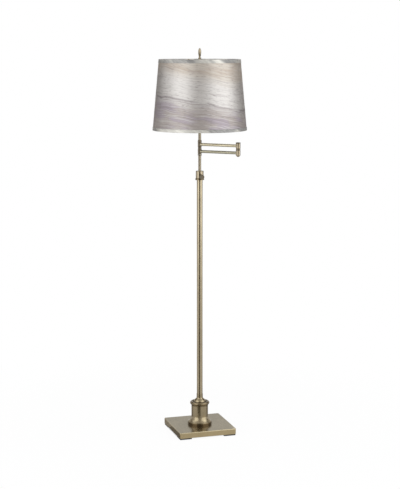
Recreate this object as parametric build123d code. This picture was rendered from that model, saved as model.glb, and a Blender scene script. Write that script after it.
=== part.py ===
from build123d import *
import os
from math import cos, hypot, radians, sin, tan

# A floor lamp with a sliding stem and a two-piece swing arm under a tapered drum shade.
# Millimetres, +Z up, origin on the floor under the pole, front of the square base towards -Y.
# At rest the arm is folded, so that the shade stands over the pole.

# Fits, each given per side
SCREWED = 0.02          # between screwed or pressed pieces
RUNNING = 0.05          # between a turning or sliding piece and its bearing
SLIP = 0.3              # between faces that move past each other
PASSING = 0.4           # around a piece that goes freely through a hole

# Square base
BASE_SIDE = 256.0
BASE_HEIGHT = 24.0
BASE_WALL = 1.6
BASE_CORNER = 7.0
BASE_EDGE = 1.8
FOOT_SIDE = 53.0
FOOT_HEIGHT = 6.0
FOOT_INSET = 2.0
FOOT_CORNER = 4.0
SHEET_THICKNESS = 1.2
WEIGHT_GAP = 0.8

# Threaded rod that ties base, pedestal and pole together
ROD_RADIUS = 4.85
ROD_BORE = 3.5
ROD_TAIL = 2.5
NUT_FLATS = 16.0
NUT_HEIGHT = 5.0
WASHER_RADIUS = 14.0
WASHER_THICKNESS = 1.6
RECESS_RADIUS = 18.0

# Cord inlet in the back wall of the base
INLET_HEIGHT = 15.5
INLET_BORE = 3.6
GROMMET_NECK = 5.0
GROMMET_FLANGE = 6.6
GROMMET_LIP_OUT = 2.4
GROMMET_LIP_IN = 1.5
CHANNEL_ROOM = 1.0

# Pedestal
BELL_RADIUS = 53.6
BELL_HEIGHT = 35.0
LIP_HEIGHT = 13.0
LIP_EDGE = 1.2
FLARE_RADIUS = 51.8
FLARE_HOLLOW = 2.4
SLEEVE_RADIUS = 36.6
SLEEVE_WALL = 2.0
SLEEVE_HEIGHT = 48.5
SPIGOT_WALL = 2.2
SPIGOT_HEIGHT = 5.0
GROOVE_DEPTH = 2.0
GROOVE_HEIGHT = 4.0
RIM_RADIUS = 42.6
RIM_HEIGHT = 12.7
RIM_SHELF = 31.0
DISH_DEPTH = 2.2
DOME_RADIUS = 27.0
DOME_SLOPE = 50.0       # of the dome's straight flank, from upright
DOME_ROUND = 4.0        # the part of the dome's width that its shoulder takes
DOME_SWEEP = 2.5        # the part of the dome's width that its sweep into the neck takes
NECK_WALL = 1.1
NECK_HEIGHT = 15.4
NECK_CHAMFER = 0.5

# Pole, in two equal sections
POLE_RADIUS = 12.7
POLE_WALL = 1.2
POLE_SECTION = 485.5
POLE_RISE = 19.9        # of the pole's foot over the rim
POLE_CHAMFER = 0.5
PLUG_HEIGHT = 25.0
ROD_OVER = 3.0
COUPLING_REACH = 25.0
COUPLING_BORE = 6.0

# Height clamp at the top of the pole
COLLAR_RADIUS = 17.0
COLLAR_RING = 19.0
COLLAR_RING_HEIGHT = 6.5
COLLAR_SKIRT = 9.0
COLLAR_BODY = 30.0
COLLAR_CHAMFER = 1.2
BUSH_LENGTH = 34.0
SCREW_RISE = 6.0
SCREW_RADIUS = 2.5
SCREW_GRIP = 8.0
KNOB_RADIUS = 10.4
KNOB_LENGTH = 13.0
KNOB_GAP = 3.5
KNOB_FLUTES = 22
KNOB_FLUTE_RADIUS = 0.8
KNOB_AZIMUTH = -90.0

# Sliding stem
STEM_RADIUS = 6.4
STEM_WALL = 1.2
STEM_SHOWING = 66.0
STEM_RISE = 200.0
STOP_LENGTH = 20.0
BEARING_HEIGHT = 5.6
FRICTION_WASHER = 0.8

# Swing arms
ARM_REACH = 184.0
ARM_AZIMUTH = -45.0
ARM_RADIUS = 6.35
ARM_WALL = 1.2
HUB_BARREL_RADIUS = 8.2
ELBOW_BARREL_RADIUS = 9.7
BARREL_HEIGHT = 22.0
BARREL_CHAMFER = 0.8
BARREL_GAP = 8.0
PIVOT_RADIUS = 6.0
PIVOT_BORE = 3.5
PIVOT_SHANK = 22.0
PIVOT_CAP_RADIUS = 7.6
PIVOT_CAP_HEIGHT = 3.4
CAP_ROOF = 1.4
ELBOW_CAP_RADIUS = 10.2
ELBOW_CAP_HEIGHT = 4.2
ELBOW_CAP_CROWN = 1.4
ELBOW_SPACER_RADIUS = 9.2
ELBOW_STUB_RADIUS = 3.0
ELBOW_STUB_LENGTH = 3.4
ELBOW_NUT_RADIUS = 8.4
ELBOW_NUT_HEIGHT = 5.8

# Riser that carries the head
HEAD_CAP_HEIGHT = 3.4
RISER_SEAT_FOOT = 8.6
RISER_SEAT_TOP = 7.6
RISER_SEAT_HEIGHT = 8.0
RISER_RADIUS = 6.2
RISER_WALL = 1.2
RISER_LENGTH = 70.0
NIPPLE_GRIP = 20.0

# Harp
SADDLE_THICKNESS = 1.5
SADDLE_WIDTH = 12.0
SADDLE_REACH = 28.0
EAR_WIDTH = 5.0
EAR_HEIGHT = 10.0
FERRULE_WALL = 1.0
FERRULE_HEIGHT = 16.0
HARP_WIRE = 1.9
HARP_HEIGHT = 254.0
HARP_REACH = 57.0
HARP_ANKLE = 22.0
HARP_SWELL = 44.0
HARP_LEAN = 80.0
HARP_CROWN = 24.0
HARP_BEND = 25.0
STUD_RADIUS = 3.0
STUD_LENGTH = 13.0
STUD_SEAT_RADIUS = 9.0
STUD_SEAT_HEIGHT = 3.4

# Lamp socket, switch and bulb
SOCKET_RADIUS = 18.0
SOCKET_WALL = 0.8
SOCKET_CAP_HEIGHT = 24.0
SOCKET_CAP_ROUND = 5.0
SHELL_OVERLAP = 6.0
SHELL_HEIGHT = 44.0
LINER_WALL = 0.6
CORE_RADIUS = 14.6
CORE_HEIGHT = 20.0
CORE_RISE = 8.0
SCREW_SHELL_WALL = 0.5
SCREW_SHELL_HEIGHT = 25.0
LAMP_FOOT_RADIUS = 13.0
LAMP_FOOT_HEIGHT = 27.0
LAMP_TIP_RADIUS = 5.0
LAMP_TIP_HEIGHT = 2.0
GLOBE_RADIUS = 33.0
GLOBE_HEIGHT = 100.0
GLOBE_NECK = 12.4
GLOBE_WALL = 0.8
KEY_RISE = 12.0
KEY_SHAFT = 2.0
KEY_BEARING = 6.0
KEY_STANDOFF = 8.0
KEY_RADIUS = 5.6
KEY_LENGTH = 12.0
KEY_CHAMFER = 1.0

# Shade
SHADE_BOTTOM_RADIUS = 201.4
SHADE_TOP_RADIUS = 174.2
SHADE_HEIGHT = 299.0
FABRIC = 0.8
LINER = 0.8
RING_WIRE = 1.6
RING_DROP = 2.0
TRIM = 0.9
TRIM_TOP_BAND = 14.0
TRIM_BOTTOM_BAND = 12.5
TRIM_TURN_IN = 8.0
FITTER_DROP = 14.0
FITTER_SPOKES = 3
SPOKE_WIRE = 1.7
HUB_RADIUS = 12.0
HUB_THICKNESS = 2.4

# Finial
FINIAL_FOOT_RADIUS = 7.0
FINIAL_FOOT_HEIGHT = 3.0
FINIAL_STEM_RADIUS = 4.6
FINIAL_STEM_HEIGHT = 13.0
FINIAL_BEAD_RADIUS = 6.4
FINIAL_BEAD_HEIGHT = 5.0
FINIAL_NECK_RADIUS = 4.2
FINIAL_NECK_HEIGHT = 5.0
FINIAL_EGG_RADIUS = 6.3
FINIAL_EGG_FOOT = 18.5
FINIAL_EGG_CROWN = 16.5
OVAL = 0.5523           # handle length of a quarter oval, as a share of its half axis

# Heights, worked out from the floor up
NECK_RADIUS = POLE_RADIUS + NECK_WALL
SHEET_TOP = FOOT_HEIGHT + SHEET_THICKNESS
COVER_TOP = FOOT_HEIGHT + BASE_HEIGHT
COVER_UNDER = COVER_TOP - BASE_WALL
ROD_LOW = SHEET_TOP + PASSING
NUT_LOW = ROD_LOW + ROD_TAIL
WASHER_LOW = NUT_LOW + NUT_HEIGHT
RECESS_TOP = WASHER_LOW + WASHER_THICKNESS
LIP_TOP = COVER_TOP + LIP_HEIGHT
BELL_TOP = COVER_TOP + BELL_HEIGHT
SLEEVE_TOP = BELL_TOP + SLEEVE_HEIGHT
RIM_LOW = SLEEVE_TOP + GROOVE_HEIGHT
RIM_TOP = RIM_LOW + RIM_HEIGHT
SHOULDER_HIGH = RIM_TOP + DOME_ROUND / tan(radians(DOME_SLOPE / 2))
SWEEP_LOW = SHOULDER_HIGH + (DOME_RADIUS - DOME_ROUND - DOME_SWEEP - NECK_RADIUS) / tan(radians(DOME_SLOPE))
SWEEP_HIGH = SWEEP_LOW + DOME_SWEEP / tan(radians(DOME_SLOPE / 2))
NECK_TOP = SWEEP_HIGH + NECK_HEIGHT
POLE_FOOT = RIM_TOP + POLE_RISE
POLE_JOINT = POLE_FOOT + POLE_SECTION
POLE_TOP = POLE_JOINT + POLE_SECTION
COLLAR_LOW = POLE_TOP - COLLAR_SKIRT
COLLAR_TOP = POLE_TOP + COLLAR_BODY
SCREW_HEIGHT = POLE_TOP + SCREW_RISE
BUSH_LOW = POLE_TOP - BUSH_LENGTH
STOP_TOP = BUSH_LOW - STEM_RISE - SLIP
STEM_LOW = STOP_TOP - STOP_LENGTH
BEARING_LOW = COLLAR_TOP + STEM_SHOWING
STEM_TOP = BEARING_LOW + BEARING_HEIGHT
LOWER_LOW = STEM_TOP + FRICTION_WASHER + SLIP
LOWER_TOP = LOWER_LOW + BARREL_HEIGHT
UPPER_LOW = LOWER_TOP + BARREL_GAP
UPPER_TOP = UPPER_LOW + BARREL_HEIGHT
LOWER_AXIS = LOWER_LOW + BARREL_HEIGHT / 2
UPPER_AXIS = UPPER_LOW + BARREL_HEIGHT / 2
PIVOT_CAP_LOW = LOWER_TOP + SLIP
ELBOW_CAP_LOW = UPPER_TOP + SLIP
RISER_LOW = UPPER_TOP + RISER_SEAT_HEIGHT
RISER_TOP = RISER_LOW + RISER_LENGTH
SADDLE_TOP = RISER_TOP + SADDLE_THICKNESS
HARP_LOW = SADDLE_TOP + EAR_HEIGHT
STUD_SEAT_TOP = SADDLE_TOP + HARP_HEIGHT
HARP_TOP = STUD_SEAT_TOP - STUD_SEAT_HEIGHT
HUB_LOW = STUD_SEAT_TOP + SLIP
HUB_TOP = HUB_LOW + HUB_THICKNESS
STUD_TOP = HUB_TOP + STUD_LENGTH
FINIAL_LOW = HUB_TOP + SLIP
SOCKET_CAP_TOP = SADDLE_TOP + SOCKET_CAP_HEIGHT
SHELL_LOW = SOCKET_CAP_TOP - SHELL_OVERLAP
SHELL_TOP = SHELL_LOW + SHELL_HEIGHT
CORE_LOW = SADDLE_TOP + CORE_RISE
CORE_TOP = CORE_LOW + CORE_HEIGHT
KEY_HEIGHT = CORE_LOW + KEY_RISE
LAMP_FOOT_LOW = CORE_TOP + LAMP_TIP_HEIGHT
LAMP_FOOT_TOP = LAMP_FOOT_LOW + LAMP_FOOT_HEIGHT
SHADE_TOP = HUB_TOP + FITTER_DROP
SHADE_LOW = SHADE_TOP - SHADE_HEIGHT

# Radii and places that several pieces share
ROD_HOLE = ROD_RADIUS + PASSING
POLE_BORE = POLE_RADIUS - POLE_WALL
STEM_BORE = STEM_RADIUS - STEM_WALL
ARM_BORE = ARM_RADIUS - ARM_WALL
RISER_BORE = RISER_RADIUS - RISER_WALL
NIPPLE_RADIUS = RISER_BORE - SCREWED
SPIGOT_RADIUS = SLEEVE_RADIUS - SLEEVE_WALL - SCREWED
PEDESTAL_BORE = SPIGOT_RADIUS - SPIGOT_WALL
SHELL_RADIUS = SOCKET_RADIUS - SOCKET_WALL - SCREWED
FERRULE_BORE = hypot(EAR_WIDTH, SADDLE_THICKNESS) / 2 + SCREWED
SCREW_TIP = STEM_RADIUS + RUNNING
KNOB_FOOT = max(COLLAR_RING, COLLAR_RADIUS) + KNOB_GAP
ELBOW = Pos(ARM_REACH * cos(radians(ARM_AZIMUTH)), ARM_REACH * sin(radians(ARM_AZIMUTH)), 0)
ARM_TURN = Rot(0, 0, ARM_AZIMUTH)


def tube(radius, bore, low, high):
    """A round tube about Z, or a round bar where the bore is nothing."""
    bottom = (Align.CENTER, Align.CENTER, Align.MIN)
    body = Cylinder(radius, high - low, align=bottom)
    if bore:
        body -= Cylinder(bore, high - low, align=bottom)
    return Pos(0, 0, low) * body


def turned(*edges):
    """A solid turned about Z from the edges of a closed outline of (radius, height) points."""
    return revolve(Plane.XZ * make_face(list(edges)), Axis.Z)


def turned_corners(*points):
    """A solid turned about Z from the corners of a closed straight-sided outline."""
    return turned(Polyline(*points, close=True))


def bar_between(start, end, radius):
    """A round bar from one point to another."""
    along = Vector(*end) - Vector(*start)
    place = Plane(origin=start, z_dir=along)
    return extrude(place * Circle(radius), along.length)


def square_block(side, corner, low, high):
    """An upright block with a square plan and rounded corners."""
    return Pos(0, 0, low) * extrude(RectangleRounded(side, side, corner), high - low)


def half_crown(radius, rim, tip):
    """Half of a round crown, from its rim at a radius to its tip on the axis."""
    whole = ThreePointArc((-radius, rim), (0, tip), (radius, rim))
    return ThreePointArc((radius, rim), whole @ 0.75, (0, tip))


def capped_bore(radius, low, high, roof):
    """The space of a bore that stops short of the top of a cap by its roof."""
    return tube(radius, 0, low, high - roof)


# Base
def inlet_bar(radius, inner, outer):
    """A round bar on the cord inlet's axis, between two distances from the middle of the base."""
    return bar_between((0, inner, INLET_HEIGHT), (0, outer, INLET_HEIGHT), radius)


def base_cover():
    """The pressed cover: an open box with a rounded top edge, a rod hole and the cord inlet."""
    cover = square_block(BASE_SIDE, BASE_CORNER, FOOT_HEIGHT, COVER_TOP)
    top_edges = cover.faces().sort_by(Axis.Z)[-1].edges()
    cover = fillet(top_edges, BASE_EDGE)
    room = square_block(BASE_SIDE - 2 * BASE_WALL, BASE_CORNER - BASE_WALL, FOOT_HEIGHT, COVER_UNDER)
    inlet = inlet_bar(GROMMET_NECK + SCREWED, BASE_SIDE / 2 - 2 * BASE_WALL, BASE_SIDE / 2 + BASE_WALL)
    return cover - room - tube(ROD_HOLE, 0, COVER_UNDER, COVER_TOP) - inlet


def base_weight():
    """The cast slab that fills the cover, with the nut's recess and a channel for the cord."""
    side = BASE_SIDE - 2 * (BASE_WALL + WEIGHT_GAP)
    slab = square_block(side, BASE_CORNER - BASE_WALL, SHEET_TOP, COVER_UNDER)
    slab -= tube(ROD_HOLE, 0, SHEET_TOP, COVER_UNDER)
    slab -= tube(RECESS_RADIUS, 0, SHEET_TOP, RECESS_TOP)
    half_width = GROMMET_FLANGE + CHANNEL_ROOM
    depth = INLET_HEIGHT + half_width - SHEET_TOP
    channel = Box(2 * half_width, side, depth, align=(Align.CENTER, Align.MIN, Align.MIN))
    return slab - Pos(0, 0, SHEET_TOP) * channel


def base_sheet():
    """The thin sheet that closes the base from below."""
    side = BASE_SIDE - 2 * (BASE_WALL + SLIP)
    return square_block(side, BASE_CORNER - BASE_WALL, FOOT_HEIGHT, SHEET_TOP)


def base_feet():
    """Four rubber pads, one under each corner."""
    place = BASE_SIDE / 2 - FOOT_INSET - FOOT_SIDE / 2
    pad = square_block(FOOT_SIDE, FOOT_CORNER, 0, FOOT_HEIGHT)
    return Compound([spot * pad for spot in GridLocations(2 * place, 2 * place, 2, 2)])


def cord_grommet():
    """The flanged bush that lines the cord inlet."""
    inside = BASE_SIDE / 2 - BASE_WALL
    outside = BASE_SIDE / 2
    low = inside - GROMMET_LIP_IN
    high = outside + GROMMET_LIP_OUT
    bush = inlet_bar(GROMMET_NECK, low, high)
    bush += inlet_bar(GROMMET_FLANGE, low, inside)
    bush += inlet_bar(GROMMET_FLANGE, outside, high)
    return bush - inlet_bar(INLET_BORE, low, high)


def tie_rod():
    """The hollow threaded rod from the base nut to the pole plug."""
    return tube(ROD_RADIUS, ROD_BORE, ROD_LOW, POLE_FOOT + PLUG_HEIGHT + ROD_OVER)


def base_washer():
    """The washer between the nut and the weight."""
    return tube(WASHER_RADIUS, ROD_HOLE, WASHER_LOW, RECESS_TOP)


def base_nut():
    """The hexagon nut under the weight."""
    hexagon = RegularPolygon(NUT_FLATS / 2, 6, major_radius=False)
    nut = Pos(0, 0, NUT_LOW) * extrude(hexagon, NUT_HEIGHT)
    return nut - tube(ROD_RADIUS + SCREWED, 0, NUT_LOW, WASHER_LOW)


# Pedestal
def pedestal_bell():
    """The flared foot: an upright lip, a slightly hollow flare and a spigot that locates the sleeve."""
    flare = Vector(FLARE_RADIUS, LIP_TOP)
    shoulder = Vector(SLEEVE_RADIUS, BELL_TOP)
    across = (flare - shoulder).rotate(Axis.Z, -90).normalized()
    hollow = (flare + shoulder) / 2 + across * FLARE_HOLLOW
    spigot_top = BELL_TOP + SPIGOT_HEIGHT
    lip_side = (BELL_RADIUS, LIP_TOP - LIP_EDGE)
    lip_ledge = (BELL_RADIUS - LIP_EDGE, LIP_TOP)
    return turned(
        Polyline((PEDESTAL_BORE, COVER_TOP), (BELL_RADIUS, COVER_TOP), lip_side),
        TangentArc(lip_side, lip_ledge, tangent=(0, 1)),
        Line(lip_ledge, flare),
        ThreePointArc(flare, hollow, shoulder),
        Polyline(shoulder, (SPIGOT_RADIUS, BELL_TOP), (SPIGOT_RADIUS, spigot_top),
                 (PEDESTAL_BORE, spigot_top), (PEDESTAL_BORE, COVER_TOP)))


def pedestal_sleeve():
    """The plain tube between the bell and the cap."""
    return tube(SLEEVE_RADIUS, SLEEVE_RADIUS - SLEEVE_WALL, BELL_TOP, SLEEVE_TOP)


def pedestal_cap():
    """The cap: a groove, a rolled rim, a dish, a dome that sweeps up and the neck that holds the pole."""
    groove = SLEEVE_RADIUS - GROOVE_DEPTH
    bore = POLE_RADIUS + SCREWED
    rim_middle = (RIM_RADIUS, RIM_LOW + RIM_HEIGHT / 2)
    dish = ((RIM_SHELF + DOME_RADIUS) / 2, RIM_TOP - DISH_DEPTH)
    shoulder = (DOME_RADIUS - DOME_ROUND, SHOULDER_HIGH)
    hip = (NECK_RADIUS + DOME_SWEEP, SWEEP_LOW)
    return turned(
        Polyline((SPIGOT_RADIUS, SLEEVE_TOP), (groove, SLEEVE_TOP), (groove, RIM_LOW)),
        ThreePointArc((groove, RIM_LOW), rim_middle, (RIM_SHELF, RIM_TOP)),
        ThreePointArc((RIM_SHELF, RIM_TOP), dish, (DOME_RADIUS, RIM_TOP)),
        TangentArc((DOME_RADIUS, RIM_TOP), shoulder, tangent=(0, 1)),
        Line(shoulder, hip),
        TangentArc((NECK_RADIUS, SWEEP_HIGH), hip, tangent=(0, -1)),
        Polyline((NECK_RADIUS, SWEEP_HIGH), (NECK_RADIUS, NECK_TOP - NECK_CHAMFER),
                 (NECK_RADIUS - NECK_CHAMFER, NECK_TOP), (bore, NECK_TOP), (bore, POLE_FOOT),
                 (ROD_HOLE, POLE_FOOT), (ROD_HOLE, RIM_LOW), (PEDESTAL_BORE, RIM_LOW),
                 (PEDESTAL_BORE, SLEEVE_TOP - SPIGOT_HEIGHT), (SPIGOT_RADIUS, SLEEVE_TOP - SPIGOT_HEIGHT),
                 (SPIGOT_RADIUS, SLEEVE_TOP)))


# Pole
def pole_plug():
    """The threaded plug in the foot of the pole, drawn down by the rod."""
    return tube(POLE_BORE - SCREWED, ROD_RADIUS + SCREWED, POLE_FOOT, POLE_FOOT + PLUG_HEIGHT)


def lower_pole():
    """The lower pole section, with a chamfer at the joint."""
    pole = tube(POLE_RADIUS, POLE_BORE, POLE_FOOT, POLE_JOINT)
    joint_edge = pole.edges().filter_by(GeomType.CIRCLE).group_by(Axis.Z)[-1].sort_by(SortBy.RADIUS)[-1]
    return chamfer(joint_edge, POLE_CHAMFER)


def upper_pole():
    """The upper pole section, with a chamfer at the joint."""
    pole = tube(POLE_RADIUS, POLE_BORE, POLE_JOINT, POLE_TOP)
    joint_edge = pole.edges().filter_by(GeomType.CIRCLE).group_by(Axis.Z)[0].sort_by(SortBy.RADIUS)[-1]
    return chamfer(joint_edge, POLE_CHAMFER)


def pole_coupling():
    """The threaded coupling inside the pole's joint."""
    return tube(POLE_BORE - SCREWED, COUPLING_BORE, POLE_JOINT - COUPLING_REACH, POLE_JOINT + COUPLING_REACH)


def guide_bush():
    """The long bush in the top of the pole that the stem slides in."""
    return tube(POLE_BORE - SCREWED, STEM_RADIUS + RUNNING, BUSH_LOW, POLE_TOP)


# Height clamp
def clamp_bar(radius, inner, outer):
    """A round bar on the thumbscrew's axis, between two distances from the pole's axis."""
    bar = bar_between((inner, 0, SCREW_HEIGHT), (outer, 0, SCREW_HEIGHT), radius)
    return Rot(0, 0, KNOB_AZIMUTH) * bar


def clamp_collar():
    """The collar on the pole's top, with a ring round its foot and the thumbscrew's hole."""
    skirt = POLE_RADIUS + SCREWED
    stem_hole = STEM_RADIUS + SLIP
    ring_top = COLLAR_LOW + COLLAR_RING_HEIGHT
    collar = turned_corners(
        (skirt, COLLAR_LOW), (COLLAR_RING, COLLAR_LOW), (COLLAR_RING, ring_top), (COLLAR_RADIUS, ring_top),
        (COLLAR_RADIUS, COLLAR_TOP - COLLAR_CHAMFER), (COLLAR_RADIUS - COLLAR_CHAMFER, COLLAR_TOP),
        (stem_hole, COLLAR_TOP), (stem_hole, POLE_TOP), (skirt, POLE_TOP))
    return collar - clamp_bar(SCREW_RADIUS + RUNNING, 0, KNOB_FOOT)


def clamp_screw():
    """The thumbscrew's threaded shank, which bears on the stem."""
    return clamp_bar(SCREW_RADIUS, SCREW_TIP, KNOB_FOOT + SCREW_GRIP)


def clamp_knob():
    """The fluted knob on the thumbscrew."""
    knob = clamp_bar(KNOB_RADIUS, KNOB_FOOT, KNOB_FOOT + KNOB_LENGTH)
    knob -= clamp_bar(SCREW_RADIUS + SCREWED, KNOB_FOOT, KNOB_FOOT + SCREW_GRIP)
    flute = tube(KNOB_FLUTE_RADIUS, 0, 0, KNOB_LENGTH)
    flutes = [spot * flute for spot in PolarLocations(KNOB_RADIUS, KNOB_FLUTES)]
    lie_down = Rot(0, 0, KNOB_AZIMUTH) * Pos(KNOB_FOOT, 0, SCREW_HEIGHT) * Rot(0, 90, 0)
    return knob - [lie_down * one for one in flutes]


# Sliding stem
def stem_tube():
    """The tube that slides in the pole."""
    return tube(STEM_RADIUS, STEM_BORE, STEM_LOW, STEM_TOP)


def stem_stop():
    """The ring at the stem's foot, which meets the bush when the stem is fully raised."""
    return tube(POLE_BORE - SLIP, STEM_RADIUS + SCREWED, STEM_LOW, STOP_TOP)


def stem_bearing():
    """The collar round the stem's top that the lower arm turns on."""
    return tube(HUB_BARREL_RADIUS, STEM_RADIUS + SCREWED, BEARING_LOW, STEM_TOP)


def friction_washer():
    """The washer that keeps the lower arm where it is put."""
    radius = HUB_BARREL_RADIUS - BARREL_CHAMFER
    return tube(radius, PIVOT_RADIUS + SCREWED, STEM_TOP, STEM_TOP + FRICTION_WASHER)


def lower_pivot():
    """The hollow spindle in the stem's top that goes up through the lower arm's barrel."""
    top = PIVOT_CAP_LOW + PIVOT_CAP_HEIGHT - CAP_ROOF
    spindle = tube(STEM_BORE - SCREWED, 0, STEM_TOP - PIVOT_SHANK, STEM_TOP)
    spindle += tube(PIVOT_RADIUS, 0, STEM_TOP, top)
    return spindle - tube(PIVOT_BORE, 0, STEM_TOP - PIVOT_SHANK, top)


def lower_pivot_cap():
    """The cap nut that holds the lower arm down on its spindle."""
    high = PIVOT_CAP_LOW + PIVOT_CAP_HEIGHT
    cap = tube(PIVOT_CAP_RADIUS, 0, PIVOT_CAP_LOW, high)
    return cap - capped_bore(PIVOT_RADIUS + SCREWED, PIVOT_CAP_LOW, high, CAP_ROOF)


# Swing arms
def barrel(radius, bore, low, outlet):
    """An upright barrel with chamfered rims and a hole for the wires on the side of its arm."""
    axis = low + BARREL_HEIGHT / 2
    body = tube(radius, 0, low, low + BARREL_HEIGHT)
    body = chamfer(body.edges().filter_by(GeomType.CIRCLE), BARREL_CHAMFER)
    body -= tube(bore, 0, low, low + BARREL_HEIGHT)
    return body - ARM_TURN * bar_between((0, 0, axis), (outlet * 2 * radius, 0, axis), ARM_BORE)


def arm_tube(axis):
    """An arm between its two barrels, with its ends cut to fit round them."""
    arm = bar_between((0, 0, axis), (ARM_REACH, 0, axis), ARM_RADIUS)
    arm -= bar_between((0, 0, axis), (ARM_REACH, 0, axis), ARM_BORE)
    hub_seat = tube(HUB_BARREL_RADIUS, 0, axis - BARREL_HEIGHT, axis + BARREL_HEIGHT)
    elbow_seat = tube(ELBOW_BARREL_RADIUS, 0, axis - BARREL_HEIGHT, axis + BARREL_HEIGHT)
    return ARM_TURN * (arm - hub_seat - Pos(ARM_REACH, 0, 0) * elbow_seat)


def lower_arm_barrel():
    """The lower arm's barrel on the stem."""
    return barrel(HUB_BARREL_RADIUS, PIVOT_RADIUS + RUNNING, LOWER_LOW, 1)


def lower_arm_tube():
    """The lower arm."""
    return arm_tube(LOWER_AXIS)


def elbow_lower_barrel():
    """The lower arm's barrel at the elbow, fixed to the elbow pin."""
    return ELBOW * barrel(ELBOW_BARREL_RADIUS, PIVOT_RADIUS + SCREWED, LOWER_LOW, -1)


def elbow_pin():
    """The hollow elbow pin, with a thin threaded end below."""
    top = ELBOW_CAP_LOW + ELBOW_CAP_HEIGHT - ELBOW_CAP_CROWN - CAP_ROOF
    pin = tube(PIVOT_RADIUS, 0, LOWER_LOW, top)
    pin -= tube(PIVOT_BORE, 0, LOWER_LOW + ELBOW_STUB_LENGTH, top)
    return ELBOW * (pin + tube(ELBOW_STUB_RADIUS, 0, LOWER_LOW - ELBOW_STUB_LENGTH, LOWER_LOW))


def elbow_spacer():
    """The waisted spacer between the two elbow barrels."""
    return ELBOW * tube(ELBOW_SPACER_RADIUS, PIVOT_RADIUS + SCREWED, LOWER_TOP, UPPER_LOW - SLIP)


def elbow_cap():
    """The crowned cap on top of the elbow."""
    side_top = ELBOW_CAP_LOW + ELBOW_CAP_HEIGHT - ELBOW_CAP_CROWN
    high = ELBOW_CAP_LOW + ELBOW_CAP_HEIGHT
    cap = turned(
        Polyline((0, ELBOW_CAP_LOW), (ELBOW_CAP_RADIUS, ELBOW_CAP_LOW), (ELBOW_CAP_RADIUS, side_top)),
        half_crown(ELBOW_CAP_RADIUS, side_top, high),
        Line((0, high), (0, ELBOW_CAP_LOW)))
    return ELBOW * (cap - capped_bore(PIVOT_RADIUS + SCREWED, ELBOW_CAP_LOW, side_top, CAP_ROOF))


def elbow_nut():
    """The small dome nut under the elbow."""
    low = LOWER_LOW - ELBOW_NUT_HEIGHT
    nut = turned(
        Line((0, LOWER_LOW), (ELBOW_NUT_RADIUS, LOWER_LOW)),
        half_crown(ELBOW_NUT_RADIUS, LOWER_LOW, low),
        Line((0, low), (0, LOWER_LOW)))
    return ELBOW * (nut - tube(ELBOW_STUB_RADIUS + SCREWED, 0, LOWER_LOW - ELBOW_STUB_LENGTH, LOWER_LOW))


def elbow_upper_barrel():
    """The upper arm's barrel at the elbow, which turns on the elbow pin."""
    return ELBOW * barrel(ELBOW_BARREL_RADIUS, PIVOT_RADIUS + RUNNING, UPPER_LOW, -1)


def upper_arm_tube():
    """The upper arm."""
    return arm_tube(UPPER_AXIS)


def head_barrel():
    """The upper arm's barrel under the riser."""
    return barrel(HUB_BARREL_RADIUS, NIPPLE_RADIUS + SCREWED, UPPER_LOW, 1)


# Riser
def head_nipple():
    """The hollow nipple that joins the head's cap, barrel and riser."""
    return tube(NIPPLE_RADIUS, PIVOT_BORE, UPPER_LOW - HEAD_CAP_HEIGHT + CAP_ROOF, RISER_LOW + NIPPLE_GRIP)


def head_cap():
    """The cap that closes the head's barrel from below."""
    low = UPPER_LOW - HEAD_CAP_HEIGHT
    cap = tube(PIVOT_CAP_RADIUS, 0, low, UPPER_LOW)
    return cap - tube(NIPPLE_RADIUS + SCREWED, 0, low + CAP_ROOF, UPPER_LOW)


def riser_seat():
    """The tapered ring between the head's barrel and the riser."""
    bore = NIPPLE_RADIUS + SCREWED
    return turned_corners((bore, UPPER_TOP), (RISER_SEAT_FOOT, UPPER_TOP),
                          (RISER_SEAT_TOP, RISER_LOW), (bore, RISER_LOW))


def riser_tube():
    """The short upright tube that carries the harp and the socket."""
    return tube(RISER_RADIUS, RISER_BORE, RISER_LOW, RISER_TOP)


def socket_nipple():
    """The stepped nipple that holds the saddle and the socket cap on the riser."""
    high = SADDLE_TOP + SOCKET_WALL + ROD_TAIL
    nipple = tube(NIPPLE_RADIUS, 0, RISER_TOP - NIPPLE_GRIP, RISER_TOP)
    nipple += tube(ROD_RADIUS, 0, RISER_TOP, high)
    return nipple - tube(PIVOT_BORE, 0, RISER_TOP - NIPPLE_GRIP, high)


# Harp
def harp_saddle():
    """The strip under the socket, with an upright ear at each end."""
    foot = (Align.CENTER, Align.CENTER, Align.MIN)
    strip = Box(2 * SADDLE_REACH + SADDLE_THICKNESS, SADDLE_WIDTH, SADDLE_THICKNESS, align=foot)
    ear = Box(SADDLE_THICKNESS, EAR_WIDTH, SADDLE_THICKNESS + EAR_HEIGHT, align=foot)
    for side in (-1, 1):
        strip += Pos(side * SADDLE_REACH, 0, 0) * ear
    return Pos(0, 0, RISER_TOP) * strip - tube(ROD_RADIUS + SCREWED, 0, RISER_TOP, SADDLE_TOP)


def harp():
    """The wire bow that goes round the bulb and carries the shade."""
    right = [(HARP_CROWN, 0, HARP_TOP),
             (HARP_REACH, 0, HARP_TOP - HARP_LEAN),
             (HARP_REACH, 0, HARP_LOW + HARP_ANKLE + HARP_SWELL),
             (SADDLE_REACH, 0, HARP_LOW + HARP_ANKLE),
             (SADDLE_REACH, 0, HARP_LOW)]
    left = [(-x, y, z) for x, y, z in reversed(right)]
    path = FilletPolyline(*left, *right, radius=HARP_BEND)
    return sweep(Plane(path @ 0, z_dir=path % 0) * Circle(HARP_WIRE), path=path)


def harp_ferrules():
    """The two sleeves that lock the harp's feet to the saddle's ears."""
    low = SADDLE_TOP + SLIP
    sleeve = tube(FERRULE_BORE + FERRULE_WALL, FERRULE_BORE, low, low + FERRULE_HEIGHT)
    return Compound([Pos(side * SADDLE_REACH, 0, 0) * sleeve for side in (-1, 1)])


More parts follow.
